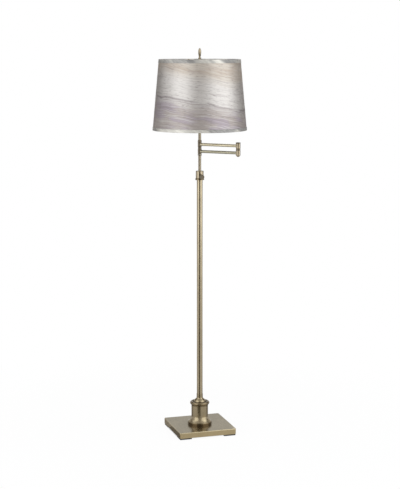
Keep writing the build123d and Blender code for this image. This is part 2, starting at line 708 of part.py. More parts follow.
def harp_stud():
    """The seat on the harp's crown, with the threaded stud for the finial."""
    seat = tube(STUD_SEAT_RADIUS, 0, HARP_TOP, STUD_SEAT_TOP)
    seat += tube(STUD_RADIUS, 0, STUD_SEAT_TOP, STUD_TOP)
    return seat - harp()


# Socket, switch and bulb
def key_bar(radius, inner, outer):
    """A round bar on the switch key's axis, between two distances from the socket's axis."""
    return bar_between((0, -inner, KEY_HEIGHT), (0, -outer, KEY_HEIGHT), radius)


def socket_cap():
    """The round-bottomed cup at the foot of the socket."""
    cup = tube(SOCKET_RADIUS, 0, SADDLE_TOP, SOCKET_CAP_TOP)
    cup = fillet(cup.edges().filter_by(GeomType.CIRCLE).sort_by(Axis.Z)[0], SOCKET_CAP_ROUND)
    room = tube(SOCKET_RADIUS - SOCKET_WALL, 0, SADDLE_TOP + SOCKET_WALL, SOCKET_CAP_TOP)
    room = fillet(room.edges().filter_by(GeomType.CIRCLE).sort_by(Axis.Z)[0], SOCKET_CAP_ROUND - SOCKET_WALL)
    cup -= room
    cup -= tube(ROD_RADIUS + SCREWED, 0, SADDLE_TOP, SADDLE_TOP + SOCKET_WALL)
    return cup - key_bar(KEY_SHAFT + PASSING, 0, 2 * SOCKET_RADIUS)


def socket_shell():
    """The metal shell that pushes into the cap."""
    shell = tube(SHELL_RADIUS, SHELL_RADIUS - SOCKET_WALL, SHELL_LOW, SHELL_TOP)
    return shell - key_bar(KEY_SHAFT + PASSING, 0, 2 * SOCKET_RADIUS)


def socket_liner():
    """The insulating sleeve inside the shell."""
    radius = SHELL_RADIUS - SOCKET_WALL - SCREWED
    liner = tube(radius, radius - LINER_WALL, SHELL_LOW, SHELL_TOP)
    return liner - key_bar(KEY_SHAFT + PASSING, 0, 2 * SOCKET_RADIUS)


def socket_core():
    """The moulded switch block, on a short foot over the nipple, with the key's bearing."""
    core = tube(CORE_RADIUS, 0, CORE_LOW, CORE_TOP)
    core += tube(ROD_RADIUS, 0, SADDLE_TOP + SOCKET_WALL + ROD_TAIL, CORE_LOW)
    return core - key_bar(KEY_SHAFT + RUNNING, CORE_RADIUS - KEY_BEARING - SLIP, 2 * CORE_RADIUS)


def screw_shell():
    """The socket's thin metal screw shell."""
    bore = LAMP_FOOT_RADIUS + RUNNING
    return tube(bore + SCREW_SHELL_WALL, bore, CORE_TOP, CORE_TOP + SCREW_SHELL_HEIGHT)


def switch_key():
    """The switch's shaft with its round key."""
    start = CORE_RADIUS - KEY_BEARING
    foot = SOCKET_RADIUS + KEY_STANDOFF
    key = key_bar(KEY_SHAFT, start, foot) + key_bar(KEY_RADIUS, foot, foot + KEY_LENGTH)
    tip_edge = key.edges().filter_by(GeomType.CIRCLE).sort_by(Axis.Y)[0]
    return chamfer(tip_edge, KEY_CHAMFER)


def bulb_foot():
    """The bulb's screw foot with its contact tip."""
    return tube(LAMP_FOOT_RADIUS, 0, LAMP_FOOT_LOW, LAMP_FOOT_TOP) + tube(
        LAMP_TIP_RADIUS, 0, CORE_TOP, LAMP_FOOT_LOW)


def globe_solid(inset):
    """The globe's form, drawn in by an inset: a neck that swells into a round crown."""
    radius = GLOBE_RADIUS - inset
    neck = GLOBE_NECK - inset
    middle = LAMP_FOOT_TOP + GLOBE_HEIGHT - GLOBE_RADIUS
    top = middle + radius
    round_top = CenterArc((0, middle), radius, 0, 90)
    return turned(
        Line((0, LAMP_FOOT_TOP), (neck, LAMP_FOOT_TOP)),
        TangentArc((radius, middle), (neck, LAMP_FOOT_TOP), tangent=(0, -1)),
        round_top,
        Line((0, top), (0, LAMP_FOOT_TOP)))


def bulb_globe():
    """The bulb's hollow glass globe."""
    return globe_solid(0) - globe_solid(GLOBE_WALL)


# Shade
def shade_radius(height):
    """The shade's outer radius at a height."""
    share = (height - SHADE_LOW) / SHADE_HEIGHT
    return SHADE_BOTTOM_RADIUS + (SHADE_TOP_RADIUS - SHADE_BOTTOM_RADIUS) * share


def shade_skin(outer_inset, inner_inset):
    """A tapered skin between two insets from the shade's outer face."""
    return turned_corners(
        (SHADE_BOTTOM_RADIUS - inner_inset, SHADE_LOW), (SHADE_BOTTOM_RADIUS - outer_inset, SHADE_LOW),
        (SHADE_TOP_RADIUS - outer_inset, SHADE_TOP), (SHADE_TOP_RADIUS - inner_inset, SHADE_TOP))


def shade_fabric():
    """The fabric face of the shade."""
    return shade_skin(0, FABRIC)


def shade_liner():
    """The stiff liner that backs the fabric."""
    return shade_skin(FABRIC + RUNNING, FABRIC + RUNNING + LINER)


def ring_radius(height):
    """The radius of a frame ring that lies against the liner at a height."""
    return shade_radius(height) - FABRIC - LINER - RING_WIRE - 2 * RUNNING


def frame_ring(height):
    """A wire ring at a height, lying against the liner."""
    radius = ring_radius(height)
    return Pos(0, 0, height) * Torus(radius, RING_WIRE)


def spoke(number, wire):
    """One of the fitter's sloping spokes, from the hub to the top ring."""
    height = SHADE_TOP - RING_DROP
    start = (HUB_RADIUS - SPOKE_WIRE, 0, HUB_LOW + HUB_THICKNESS / 2)
    bar = bar_between(start, (ring_radius(height), 0, height), wire)
    return Rot(0, 0, 90 + 360 * number / FITTER_SPOKES) * bar


def shade_fitter():
    """The top ring, spokes and hub, welded in one piece."""
    fitter = frame_ring(SHADE_TOP - RING_DROP) + tube(HUB_RADIUS, 0, HUB_LOW, HUB_TOP)
    for number in range(FITTER_SPOKES):
        fitter += spoke(number, SPOKE_WIRE)
    hub_space = tube(HUB_RADIUS - SPOKE_WIRE, 0, HUB_TOP, HUB_TOP + HUB_RADIUS)
    seat_space = tube(HUB_RADIUS - SPOKE_WIRE, 0, HUB_LOW - HUB_RADIUS, HUB_LOW)
    return fitter - hub_space - seat_space - tube(STUD_RADIUS + RUNNING, 0, HUB_LOW, HUB_TOP)


def shade_bottom_ring():
    """The wire ring at the shade's foot."""
    return frame_ring(SHADE_LOW + RING_DROP)


def edge_trim(edge, outward, band):
    """A folded trim band over an edge of the shade; outward is 1 at the top edge and -1 at the foot."""
    band_end = edge - outward * band
    turn_in = edge - outward * TRIM_TURN_IN
    fold = edge + outward * TRIM
    ring = edge - outward * RING_DROP
    inner = ring_radius(ring) - RING_WIRE - RUNNING
    face_end = shade_radius(band_end) + RUNNING
    face_edge = shade_radius(edge) + RUNNING
    return turned_corners(
        (face_end, band_end), (face_end + TRIM, band_end), (face_edge + TRIM, fold), (inner - TRIM, fold),
        (inner - TRIM, turn_in), (inner, turn_in), (inner, edge), (face_edge, edge))


def shade_top_trim():
    """The trim round the top edge, notched where the spokes pass."""
    trim = edge_trim(SHADE_TOP, 1, TRIM_TOP_BAND)
    return trim - [spoke(number, SPOKE_WIRE + SLIP) for number in range(FITTER_SPOKES)]


def shade_bottom_trim():
    """The trim round the bottom edge."""
    return edge_trim(SHADE_LOW, -1, TRIM_BOTTOM_BAND)


def finial():
    """The turned finial: a foot, a stem with a bead, a slim neck and an egg."""
    stem_low = FINIAL_LOW + FINIAL_FOOT_HEIGHT
    bead_low = stem_low + FINIAL_STEM_HEIGHT
    bead_high = bead_low + FINIAL_BEAD_HEIGHT
    egg_low = bead_high + FINIAL_NECK_HEIGHT
    bead = (FINIAL_BEAD_RADIUS, (bead_low + bead_high) / 2)
    egg_middle = egg_low + FINIAL_EGG_FOOT
    egg_high = egg_middle + FINIAL_EGG_CROWN
    body = turned(
        Polyline((0, FINIAL_LOW), (FINIAL_FOOT_RADIUS, FINIAL_LOW), (FINIAL_FOOT_RADIUS, stem_low),
                 (FINIAL_STEM_RADIUS, stem_low), (FINIAL_STEM_RADIUS, bead_low)),
        ThreePointArc((FINIAL_STEM_RADIUS, bead_low), bead, (FINIAL_NECK_RADIUS, bead_high)),
        Line((FINIAL_NECK_RADIUS, bead_high), (FINIAL_NECK_RADIUS, egg_low)),
        TangentArc((FINIAL_EGG_RADIUS, egg_middle), (FINIAL_NECK_RADIUS, egg_low), tangent=(0, -1)),
        Bezier((FINIAL_EGG_RADIUS, egg_middle), (FINIAL_EGG_RADIUS, egg_middle + OVAL * FINIAL_EGG_CROWN),
               (OVAL * FINIAL_EGG_RADIUS, egg_high), (0, egg_high)),
        Line((0, egg_high), (0, FINIAL_LOW)))
    return body - tube(STUD_RADIUS + RUNNING, 0, FINIAL_LOW, STUD_TOP + SLIP)


PIECES = [
    base_cover, base_weight, base_sheet, base_feet, cord_grommet, tie_rod, base_washer, base_nut,
    pedestal_bell, pedestal_sleeve, pedestal_cap,
    pole_plug, lower_pole, pole_coupling, upper_pole, guide_bush,
    clamp_collar, clamp_screw, clamp_knob,
    stem_tube, stem_stop, stem_bearing, friction_washer, lower_pivot, lower_pivot_cap,
    lower_arm_barrel, lower_arm_tube, elbow_lower_barrel, elbow_pin, elbow_spacer, elbow_cap, elbow_nut,
    elbow_upper_barrel, upper_arm_tube, head_barrel, head_nipple, head_cap, riser_seat, riser_tube,
    socket_nipple, harp_saddle, harp, harp_ferrules, harp_stud,
    socket_cap, socket_shell, socket_liner, socket_core, screw_shell, switch_key, bulb_foot, bulb_globe,
    shade_fabric, shade_liner, shade_fitter, shade_bottom_ring, shade_top_trim, shade_bottom_trim,
    finial]

os.makedirs("parts", exist_ok=True)
for piece in PIECES:
    export_step(piece(), f"parts/{piece.__name__}.step")
print(len(PIECES), "pieces written")
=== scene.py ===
"""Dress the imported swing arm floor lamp: aged brass, a streaked satin shade and a white studio."""

import logging
import math
from abc import ABC, abstractmethod
from collections.abc import Callable, Iterable, Mapping, Sequence
from dataclasses import dataclass, replace
from enum import Enum
from functools import cache
from typing import ClassVar

import bpy
from mathutils import Euler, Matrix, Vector, noise


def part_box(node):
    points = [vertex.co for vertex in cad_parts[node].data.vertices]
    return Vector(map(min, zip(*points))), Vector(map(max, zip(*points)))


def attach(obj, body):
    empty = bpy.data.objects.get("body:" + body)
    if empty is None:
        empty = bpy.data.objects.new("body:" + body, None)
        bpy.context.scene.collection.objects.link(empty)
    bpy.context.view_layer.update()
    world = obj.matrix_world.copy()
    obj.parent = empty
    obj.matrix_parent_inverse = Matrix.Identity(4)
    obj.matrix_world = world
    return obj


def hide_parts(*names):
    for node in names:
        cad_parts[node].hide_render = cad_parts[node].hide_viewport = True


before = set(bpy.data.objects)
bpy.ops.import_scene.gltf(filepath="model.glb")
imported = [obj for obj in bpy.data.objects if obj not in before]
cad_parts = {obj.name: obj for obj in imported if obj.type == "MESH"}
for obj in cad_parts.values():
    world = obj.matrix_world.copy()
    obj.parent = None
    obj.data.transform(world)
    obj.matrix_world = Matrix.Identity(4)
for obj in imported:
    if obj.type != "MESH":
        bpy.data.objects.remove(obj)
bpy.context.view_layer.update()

LOG = logging.getLogger("lamp")
FULL_TURN = 2 * math.pi
SHARP_ANGLE = math.radians(50)
MM = 0.001

Triple = tuple[float, float, float]
Colour = Triple
Corner = tuple[float, float]
Range = tuple[float, float]
Stop = tuple[float, Colour]
Profile = Callable[[float], Sequence[Corner]]

WHITE: Colour = (1.0, 1.0, 1.0)


class Sock:
    """An output socket that takes part in Python arithmetic."""

    def __init__(self, graph: "Graph", socket: bpy.types.NodeSocket) -> None:
        """Hold a socket and the graph that its sums are added to."""
        self.graph = graph
        self.socket = socket

    def __add__(self, other: "Operand") -> "Sock":
        """This value plus another."""
        return self.graph.maths("ADD", self, other)

    def __radd__(self, other: "Operand") -> "Sock":
        """Another value plus this one."""
        return self.graph.maths("ADD", other, self)

    def __sub__(self, other: "Operand") -> "Sock":
        """This value less another."""
        return self.graph.maths("SUBTRACT", self, other)

    def __rsub__(self, other: "Operand") -> "Sock":
        """Another value less this one."""
        return self.graph.maths("SUBTRACT", other, self)

    def __mul__(self, other: "Operand") -> "Sock":
        """This value times another."""
        return self.graph.maths("MULTIPLY", self, other)

    def __rmul__(self, other: "Operand") -> "Sock":
        """Another value times this one."""
        return self.graph.maths("MULTIPLY", other, self)

    def __abs__(self) -> "Sock":
        """This value without its sign."""
        return self.graph.maths("ABSOLUTE", self)


Operand = Sock | float | Sequence[float]


class Graph:
    """Adds nodes to one node tree."""

    # A Mix node's sockets for colours come after those for numbers and vectors.
    MIX_INPUTS = (0, 6, 7)
    MIX_OUTPUT = 2

    def __init__(self, tree: bpy.types.NodeTree) -> None:
        """Start an empty tree."""
        tree.nodes.clear()
        self.tree = tree

    def add(self, kind: str, settings: Mapping[str, object] | None = None,
            inputs: Mapping[str | int, Operand] | None = None, out: str | int = 0) -> Sock:
        """Add a node.

        Args:
            kind: The node's type name.
            settings: Its properties, set first; "stops" are a ramp's (place, colour) pairs.
            inputs: Values or links of its sockets, by name or number.
            out: The output to hand back.

        Returns:
            The chosen output, or an output node's first input.
        """
        node = self.tree.nodes.new(kind)
        for key, value in (settings or {}).items():
            if key == "stops":
                self._set_stops(node.color_ramp.elements, value)
            else:
                setattr(node, key, value)
        for key, value in (inputs or {}).items():
            self._feed(node.inputs[key], value)
        return Sock(self, node.outputs[out]) if node.outputs else Sock(self, node.inputs[0])

    def _feed(self, socket: bpy.types.NodeSocket, value: Operand) -> None:
        """Link a socket, or set its value."""
        if isinstance(value, Sock):
            self.tree.links.new(value.socket, socket)
        elif socket.type == "RGBA" and len(value) == 3:
            socket.default_value = (*value, 1.0)
        else:
            socket.default_value = value

    @staticmethod
    def _set_stops(elements: bpy.types.ColorRampElements, stops: Sequence[Stop]) -> None:
        """Give a colour ramp its stops."""
        while len(elements) < len(stops):
            elements.new(1.0)
        for element, (place, colour) in zip(elements, stops):
            element.position = place
            element.color = (*colour, 1.0)

    def maths(self, operation: str, first: Operand, second: Operand = 0.0) -> Sock:
        """Add a Math node on two values."""
        return self.add("ShaderNodeMath", {"operation": operation}, {0: first, 1: second})

    def scaled(self, vector: Sock, factors: Sequence[float]) -> Sock:
        """Stretch a vector along its axes."""
        return self.add("ShaderNodeVectorMath", {"operation": "MULTIPLY"}, {0: vector, 1: factors})

    def parts(self, vector: Sock) -> tuple[Sock, Sock, Sock]:
        """Split a vector into its three values."""
        first = self.add("ShaderNodeSeparateXYZ", None, {0: vector})
        outputs = first.socket.node.outputs
        return first, Sock(self, outputs[1]), Sock(self, outputs[2])

    def joined(self, x: Operand, y: Operand, z: Operand) -> Sock:
        """Make a vector from three values."""
        return self.add("ShaderNodeCombineXYZ", None, {0: x, 1: y, 2: z})

    def band(self, value: Sock, low: float, high: float) -> Sock:
        """A smooth step from 0 at low to 1 at high."""
        return self.add("ShaderNodeMapRange", {"interpolation_type": "SMOOTHSTEP"},
                        {"Value": value, "From Min": low, "From Max": high})

    def mix(self, share: Operand, first: Operand, second: Operand) -> Sock:
        """Mix two colours."""
        inputs = dict(zip(self.MIX_INPUTS, (share, first, second)))
        return self.add("ShaderNodeMix", {"data_type": "RGBA"}, inputs, self.MIX_OUTPUT)

    def ramp(self, value: Sock, stops: Sequence[Stop]) -> Sock:
        """Turn a value into a colour."""
        return self.add("ShaderNodeValToRGB", {"stops": stops}, {0: value})

    def clouds(self, place: Sock, scale: float, detail: float = 4.0, twist: float = 0.0) -> Sock:
        """Cloudy noise from 0 to 1."""
        return self.add("ShaderNodeTexNoise", None, {
            "Vector": place, "Scale": scale, "Detail": detail, "Distortion": twist})

    def streaks(self, place: Sock, stretch: Sequence[float], detail: float, twist: float = 0.0) -> Sock:
        """Cloudy noise from 0 to 1, squeezed so many times per metre along each axis."""
        return self.clouds(self.scaled(place, stretch), 1.0, detail, twist)

    def varied(self, middle: Operand, cloud: Sock, spread: float) -> Sock:
        """A value that noise from 0 to 1 spreads evenly round its middle."""
        return middle + (cloud - 0.5) * spread

    def seen(self) -> Sock:
        """1 for camera, glossy and transmission rays, else 0."""
        first = self.add("ShaderNodeLightPath", None, None, "Is Camera Ray")
        outputs = first.socket.node.outputs
        mirrored = self.maths("MAXIMUM", first, Sock(self, outputs["Is Glossy Ray"]))
        return self.maths("MAXIMUM", mirrored, Sock(self, outputs["Is Transmission Ray"]))


class Surface(Graph):
    """The node tree of one material."""

    def __init__(self, name: str) -> None:
        """Start a material whose maps lie in the piece's own space."""
        self.material = bpy.data.materials.new(name)
        self.material.use_nodes = True
        super().__init__(self.material.node_tree)
        self.place = self.add("ShaderNodeTexCoord", out="Object")

    def relief(self, height: Sock, depth: float, strength: float = 1.0) -> Sock:
        """Bump the normal by a height map whose full range is depth metres."""
        return self.add("ShaderNodeBump", None, {
            "Height": height, "Distance": depth, "Strength": strength})

    def output(self, shader: Sock) -> None:
        """Show a shader on the surface."""
        self.add("ShaderNodeOutputMaterial", None, {"Surface": shader})

    def shade(self, inputs: Mapping[str, Operand]) -> None:
        """Show a principled shader on the surface."""
        self.output(self.add("ShaderNodeBsdfPrincipled", None, inputs))


class Finish(ABC):
    """A surface finish that can paint a material."""

    name: str

    @abstractmethod
    def paint(self, surface: Surface) -> None:
        """Paint a material."""


@cache
def material_of(finish: Finish) -> bpy.types.Material:
    """Make a finish's material once.

    Args:
        finish: The finish to paint.

    Returns:
        Its material, shared by every piece that has the finish.
    """
    surface = Surface(finish.name)
    finish.paint(surface)
    return surface.material


class Marks(Enum):
    """How polishing marks are stretched: per metre along the piece's X, Y and Z."""

    UPRIGHT = (900.0, 900.0, 7.0)
    ROUND = (7.0, 7.0, 900.0)
    ACROSS = (7.0, 900.0, 900.0)
    ARM = (900.0, 7.0, 900.0)


@dataclass(frozen=True)
class AgedBrass(Finish):
    """Lacquered brass with fine polishing marks, cloudy toning, painted shade in its creases and a painted
    ring of shade.
    """

    name: str
    marks: Marks
    tone: Colour = (0.33, 0.275, 0.185)
    # The shadow tone darkens the polishing marks, and it is also the colour of the painted crease shade and
    # the painted ring shade.
    shadow: Colour = (0.10, 0.07, 0.035)
    turn: float = 0.0
    roughness: float = 0.25
    # crease sets how strongly creases get painted shade, found by ambient occlusion.
    crease: float = 0.0
    crease_shade_reach: float = 12 * MM
    # ring gives the heights of a band of painted shade, darkened towards the shadow tone.
    ring: Range | None = None
    ring_shade_depth: float = 0.5
    ring_shade_fade: float = MM
    lacquer: float = 0.2
    lighter: float = 1.07
    darker: float = 0.91
    cloud_scale: float = 17.0
    smudge_scale: float = 60.0
    smudge_spread: float = 0.02
    mark_spread: float = 0.04
    mark_shade: float = 0.12
    mark_depth: float = 0.006 * MM
    crease_roughness: float = 0.12

    def paint(self, surface: Surface) -> None:
        """Paint a material."""
        marks = surface.streaks(self._place(surface), self.marks.value, detail=3.0)
        smudge = surface.clouds(surface.place, self.smudge_scale, detail=3.0)
        colour = self._toned(surface, marks)
        roughness = surface.varied(self.roughness, marks, self.mark_spread)
        roughness = surface.varied(roughness, smudge, self.smudge_spread)
        # Painted crease shade: ambient occlusion darkens the colour towards the shadow tone and roughens
        # it.
        if self.crease:
            crease_shade = self._crease_shade(surface)
            colour = surface.mix(crease_shade, colour, self.shadow)
            roughness = roughness + crease_shade * self.crease_roughness
        # Painted ring shade: the band between the ring's heights is darkened towards the shadow tone.
        if self.ring:
            colour = surface.mix(self._ring_shade(surface, *self.ring), colour, self.shadow)
        surface.shade({
            "Base Color": colour, "Metallic": 1.0, "Roughness": roughness,
            "Coat Weight": self.lacquer, "Coat Roughness": 0.12,
            "Normal": surface.relief(marks, self.mark_depth, strength=0.15)})

    def _place(self, surface: Surface) -> Sock:
        """The place on the piece, turned so that the marks follow it."""
        if not self.turn:
            return surface.place
        return surface.add("ShaderNodeVectorRotate", {"rotation_type": "Z_AXIS"},
                           {"Vector": surface.place, "Angle": self.turn})

    def _toned(self, surface: Surface, marks: Sock) -> Sock:
        """The brass's colour with its clouds and polishing marks."""
        light = tuple(min(1.0, part * self.lighter) for part in self.tone)
        dark = tuple(part * self.darker for part in self.tone)
        cloud = surface.clouds(surface.place, self.cloud_scale, detail=5.0)
        colour = surface.mix(surface.band(cloud, 0.3, 0.7), dark, light)
        return surface.mix(surface.band(marks, 0.6, 0.9) * self.mark_shade, colour, self.shadow)

    def _crease_shade(self, surface: Surface) -> Sock:
        """Painted crease shade: how dark each point is made where ambient occlusion finds a crease."""
        open_air = surface.add("ShaderNodeAmbientOcclusion", {"samples": 6},
                               {"Distance": self.crease_shade_reach}, "AO")
        return (1.0 - surface.band(open_air, 0.3, 0.95)) * self.crease

    def _ring_shade(self, surface: Surface, low: float, high: float) -> Sock:
        """Painted ring shade: how dark the band between two heights is made at each point."""
        height = surface.parts(surface.place)[2]
        over_foot = surface.band(height, low - MM, low + MM)
        under_top = 1.0 - surface.band(height, high - self.ring_shade_fade, high + MM)
        return over_foot * under_top * self.ring_shade_depth


@dataclass(frozen=True)
class PlatedMetal(Finish):
    """Plated or bright metal with a faint grain."""

    name: str
    tone: Colour
    roughness: float
    dull: float = 0.82
    grain_scale: float = 420.0
    grain_depth: float = 0.02 * MM
    cloud_scale: float = 45.0

    def paint(self, surface: Surface) -> None:
        """Paint a material."""
        grain = surface.clouds(surface.place, self.grain_scale)
        cloud = surface.clouds(surface.place, self.cloud_scale)
        dull = tuple(part * self.dull for part in self.tone)
        surface.shade({
            "Base Color": surface.mix(surface.band(cloud, 0.35, 0.7), dull, self.tone),
            "Metallic": 1.0, "Roughness": surface.varied(self.roughness, grain, spread=0.14),
            "Normal": surface.relief(grain, self.grain_depth, strength=0.4)})


@dataclass(frozen=True)
class Moulded(Finish):
    """Moulded plastic, rubber or pressed board with a fine texture."""

    name: str
    tone: Colour
    roughness: float
    grain_scale: float = 700.0
    grain_depth: float = 0.04 * MM
    cloud_scale: float = 30.0
    wear: float = 0.5
    worn_gain: float = 1.25
    worn_lift: float = 0.01

    def paint(self, surface: Surface) -> None:
        """Paint a material."""
        grain = surface.clouds(surface.place, self.grain_scale, detail=5.0)
        cloud = surface.clouds(surface.place, self.cloud_scale)
        worn = tuple(min(1.0, part * self.worn_gain + self.worn_lift) for part in self.tone)
        surface.shade({
            "Base Color": surface.mix(surface.band(cloud, 0.45, 0.8) * self.wear, self.tone, worn),
            "Roughness": surface.varied(self.roughness, grain, spread=0.12),
            "Normal": surface.relief(grain, self.grain_depth, strength=0.5)})


@dataclass(frozen=True)
class CastIron(Finish):
    """Rough dark cast iron."""

    name: str = "cast_iron"
    hollow: Colour = (0.05, 0.05, 0.052)
    lump: Colour = (0.13, 0.12, 0.11)
    lump_scale: float = 160.0
    lump_depth: float = 0.4 * MM
    roughness: float = 0.7

    def paint(self, surface: Surface) -> None:
        """Paint a material."""
        lumps = surface.clouds(surface.place, self.lump_scale, detail=6.0)
        surface.shade({
            "Base Color": surface.mix(lumps, self.hollow, self.lump), "Metallic": 0.7,
            "Roughness": surface.varied(self.roughness, lumps, spread=0.3),
            "Normal": surface.relief(lumps, self.lump_depth, strength=0.8)})


@dataclass(frozen=True)
class FrostedGlass(Finish):
    """The bulb's white frosted glass."""

    name: str = "frosted_glass"
    thin: Colour = (0.80, 0.80, 0.77)
    thick: Colour = (0.90, 0.90, 0.87)
    frost_scale: float = 900.0
    frost_depth: float = 0.01 * MM
    roughness: float = 0.3

    def paint(self, surface: Surface) -> None:
        """Paint a material."""
        frost = surface.clouds(surface.place, self.frost_scale, detail=3.0)
        surface.shade({
            "Base Color": surface.mix(frost, self.thin, self.thick),
            "Roughness": surface.varied(self.roughness, frost, spread=0.16),
            "Coat Weight": 0.3, "Coat Roughness": 0.1,
            "Subsurface Weight": 0.15, "Subsurface Scale": 4 * MM,
            "Normal": surface.relief(frost, self.frost_depth, strength=0.3)})


class Weave(Enum):
    """How the satin's patterns are squeezed: per metre along X, Y and up the drum."""

    SWAY = (4.2, 4.2, 3.0)
    VEIN = (6.0, 6.0, 0.6)
    BROAD = (4.0, 4.0, 60.0)
    PATCHES = (8.5, 8.5, 34.0)
    FINE = (9.0, 9.0, 330.0)
    FLECKS = (55.0, 55.0, 300.0)
    YARN = (70.0, 70.0, 1700.0)


@dataclass(frozen=True)
class Vein:
    """A fine dark thread that wanders along the satin at about one level."""

    level: float
    width: float
    depth: float
    seed: float


@dataclass(frozen=True)
class StreakedSatin(Finish):
    """Satin with long level streaks: taupe above, silver in the middle, lilac grey and taupe below.

    Levels run from 0 at the drum's foot to 1 at its top, and lean and sway round the drum. The
    contrasts are those at the foot and over it, and metallic is given for foot, silver and crown.
    """

    low: float
    height: float
    name: str = "streaked_satin"
    lean: float = 0.65
    sway: float = 0.22
    ragged: float = 0.2
    silver_levels: Range = (0.23, 0.42)
    crown_levels: Range = (0.62, 0.86)
    silver: Colour = (0.475, 0.45, 0.43)
    foot: tuple[Colour, Colour] = ((0.335, 0.298, 0.28), (0.305, 0.265, 0.288))
    crown: tuple[Colour, Colour] = ((0.39, 0.334, 0.282), (0.445, 0.397, 0.347))
    pale_streak: Colour = (0.56, 0.54, 0.52)
    dark_streak: Colour = (0.20, 0.17, 0.165)
    contrasts: Range = (0.58, 0.44)
    fleck: Colour = (0.23, 0.205, 0.20)
    fleck_depth: float = 0.55
    vein: Colour = (0.13, 0.105, 0.11)
    veins: tuple[Vein, ...] = (
        Vein(0.375, 0.024, 0.55, 0.0), Vein(0.345, 0.016, 0.42, 3.1), Vein(0.21, 0.009, 0.30, 7.7),
        Vein(0.125, 0.008, 0.28, 1.9), Vein(0.52, 0.008, 0.22, 5.3), Vein(0.83, 0.010, 0.22, 9.2))
    vein_drift: float = 0.14
    vein_gaps: Triple = (1.82, 1.82, 1.3)
    metallic: Triple = (0.46, 0.68, 0.52)
    roughness: float = 0.44
    yarn_depth: float = 0.05 * MM

    def paint(self, surface: Surface) -> None:
        """Paint a material."""
        x, y, z = surface.parts(surface.place)
        sway = surface.streaks(surface.place, Weave.SWAY.value, detail=2.0)
        level = surface.varied((z - self.low) * (1.0 / self.height) + x * self.lean, sway, self.sway)
        threads = surface.joined(x, y, level * self.height)
        broad = surface.streaks(threads, Weave.BROAD.value, detail=4.0, twist=0.2)
        rough_level = surface.varied(level, broad, self.ragged)
        above = surface.band(rough_level, *self.silver_levels)
        topmost = surface.band(rough_level, *self.crown_levels)
        fine = surface.streaks(threads, Weave.FINE.value, detail=5.0)
        colour = self._zoned(surface, threads, above, topmost)
        at_foot, over_foot = self.contrasts
        contrast = at_foot + above * (over_foot - at_foot)
        colour = self._streaked(surface, threads, colour, fine, contrast)
        for vein in self.veins:
            colour = surface.mix(self._thread(surface, level, vein), colour, self.vein)
        yarn = surface.streaks(surface.place, Weave.YARN.value, detail=2.0)
        foot, silver, crown = self.metallic
        surface.shade({
            "Base Color": colour,
            "Metallic": foot + above * (silver - foot) + topmost * (crown - silver),
            "Roughness": surface.varied(self.roughness, fine, spread=0.08),
            "Specular Tint": (0.55, 0.5, 0.45),
            "Normal": surface.relief(yarn * 0.6 + fine * 0.4, self.yarn_depth, strength=0.4)})

    def _zoned(self, surface: Surface, threads: Sock, above: Sock, topmost: Sock) -> Sock:
        """The satin's colour by level.

        Args:
            surface: The material's node tree.
            threads: The place along the leaning, swaying threads.
            above: How far each point lies over the foot.
            topmost: How far each point lies in the crown.

        Returns:
            The patchy foot, the silver middle and the patchy crown, one running into the next.
        """
        patches = surface.streaks(threads, Weave.PATCHES.value, detail=3.0, twist=0.3)
        foot = surface.mix(surface.band(patches, 0.42, 0.6), *self.foot)
        crown = surface.mix(surface.band(patches, 0.4, 0.62), *self.crown)
        return surface.mix(above, foot, surface.mix(topmost, self.silver, crown))

    def _streaked(self, surface: Surface, threads: Sock, colour: Sock, fine: Sock, contrast: Sock) -> Sock:
        """A colour with pale and dark streaks and dark flecks laid over it.

        Args:
            surface: The material's node tree.
            threads: The place along the threads.
            colour: The colour to lay them over.
            fine: The streaks' noise.
            contrast: How strong the streaks are.

        Returns:
            The streaked colour.
        """
        pale = surface.band(fine, 0.52, 0.72)
        dark = 1.0 - surface.band(fine, 0.3, 0.47)
        flecks = 1.0 - surface.band(surface.streaks(threads, Weave.FLECKS.value, detail=3.0), 0.31, 0.46)
        colour = surface.mix(pale * contrast, colour, self.pale_streak)
        colour = surface.mix(dark * contrast, colour, self.dark_streak)
        return surface.mix(flecks * self.fleck_depth, colour, self.fleck)

    def _thread(self, surface: Surface, level: Sock, vein: Vein) -> Sock:
        """How dark one vein is at each point."""
        spot = surface.add("ShaderNodeVectorMath", {"operation": "ADD"}, {
            0: surface.scaled(surface.place, Weave.VEIN.value), 1: (vein.seed, vein.seed, 0.0)})
        drift = surface.clouds(spot, scale=1.0)
        faint = surface.streaks(spot, self.vein_gaps, detail=1.0)
        off = abs(surface.varied(level - vein.level, drift, self.vein_drift))
        return (1.0 - surface.band(off, 0.0, vein.width)) * surface.band(faint, 0.36, 0.6) * vein.depth


class TapeWeave(Enum):
    """How the tape's patterns are squeezed: per metre across and along its slanted yarns."""

    PATCH = (30.0, 9.0)
    FINE = (230.0, 12.0)
    YARN = (1700.0, 60.0)


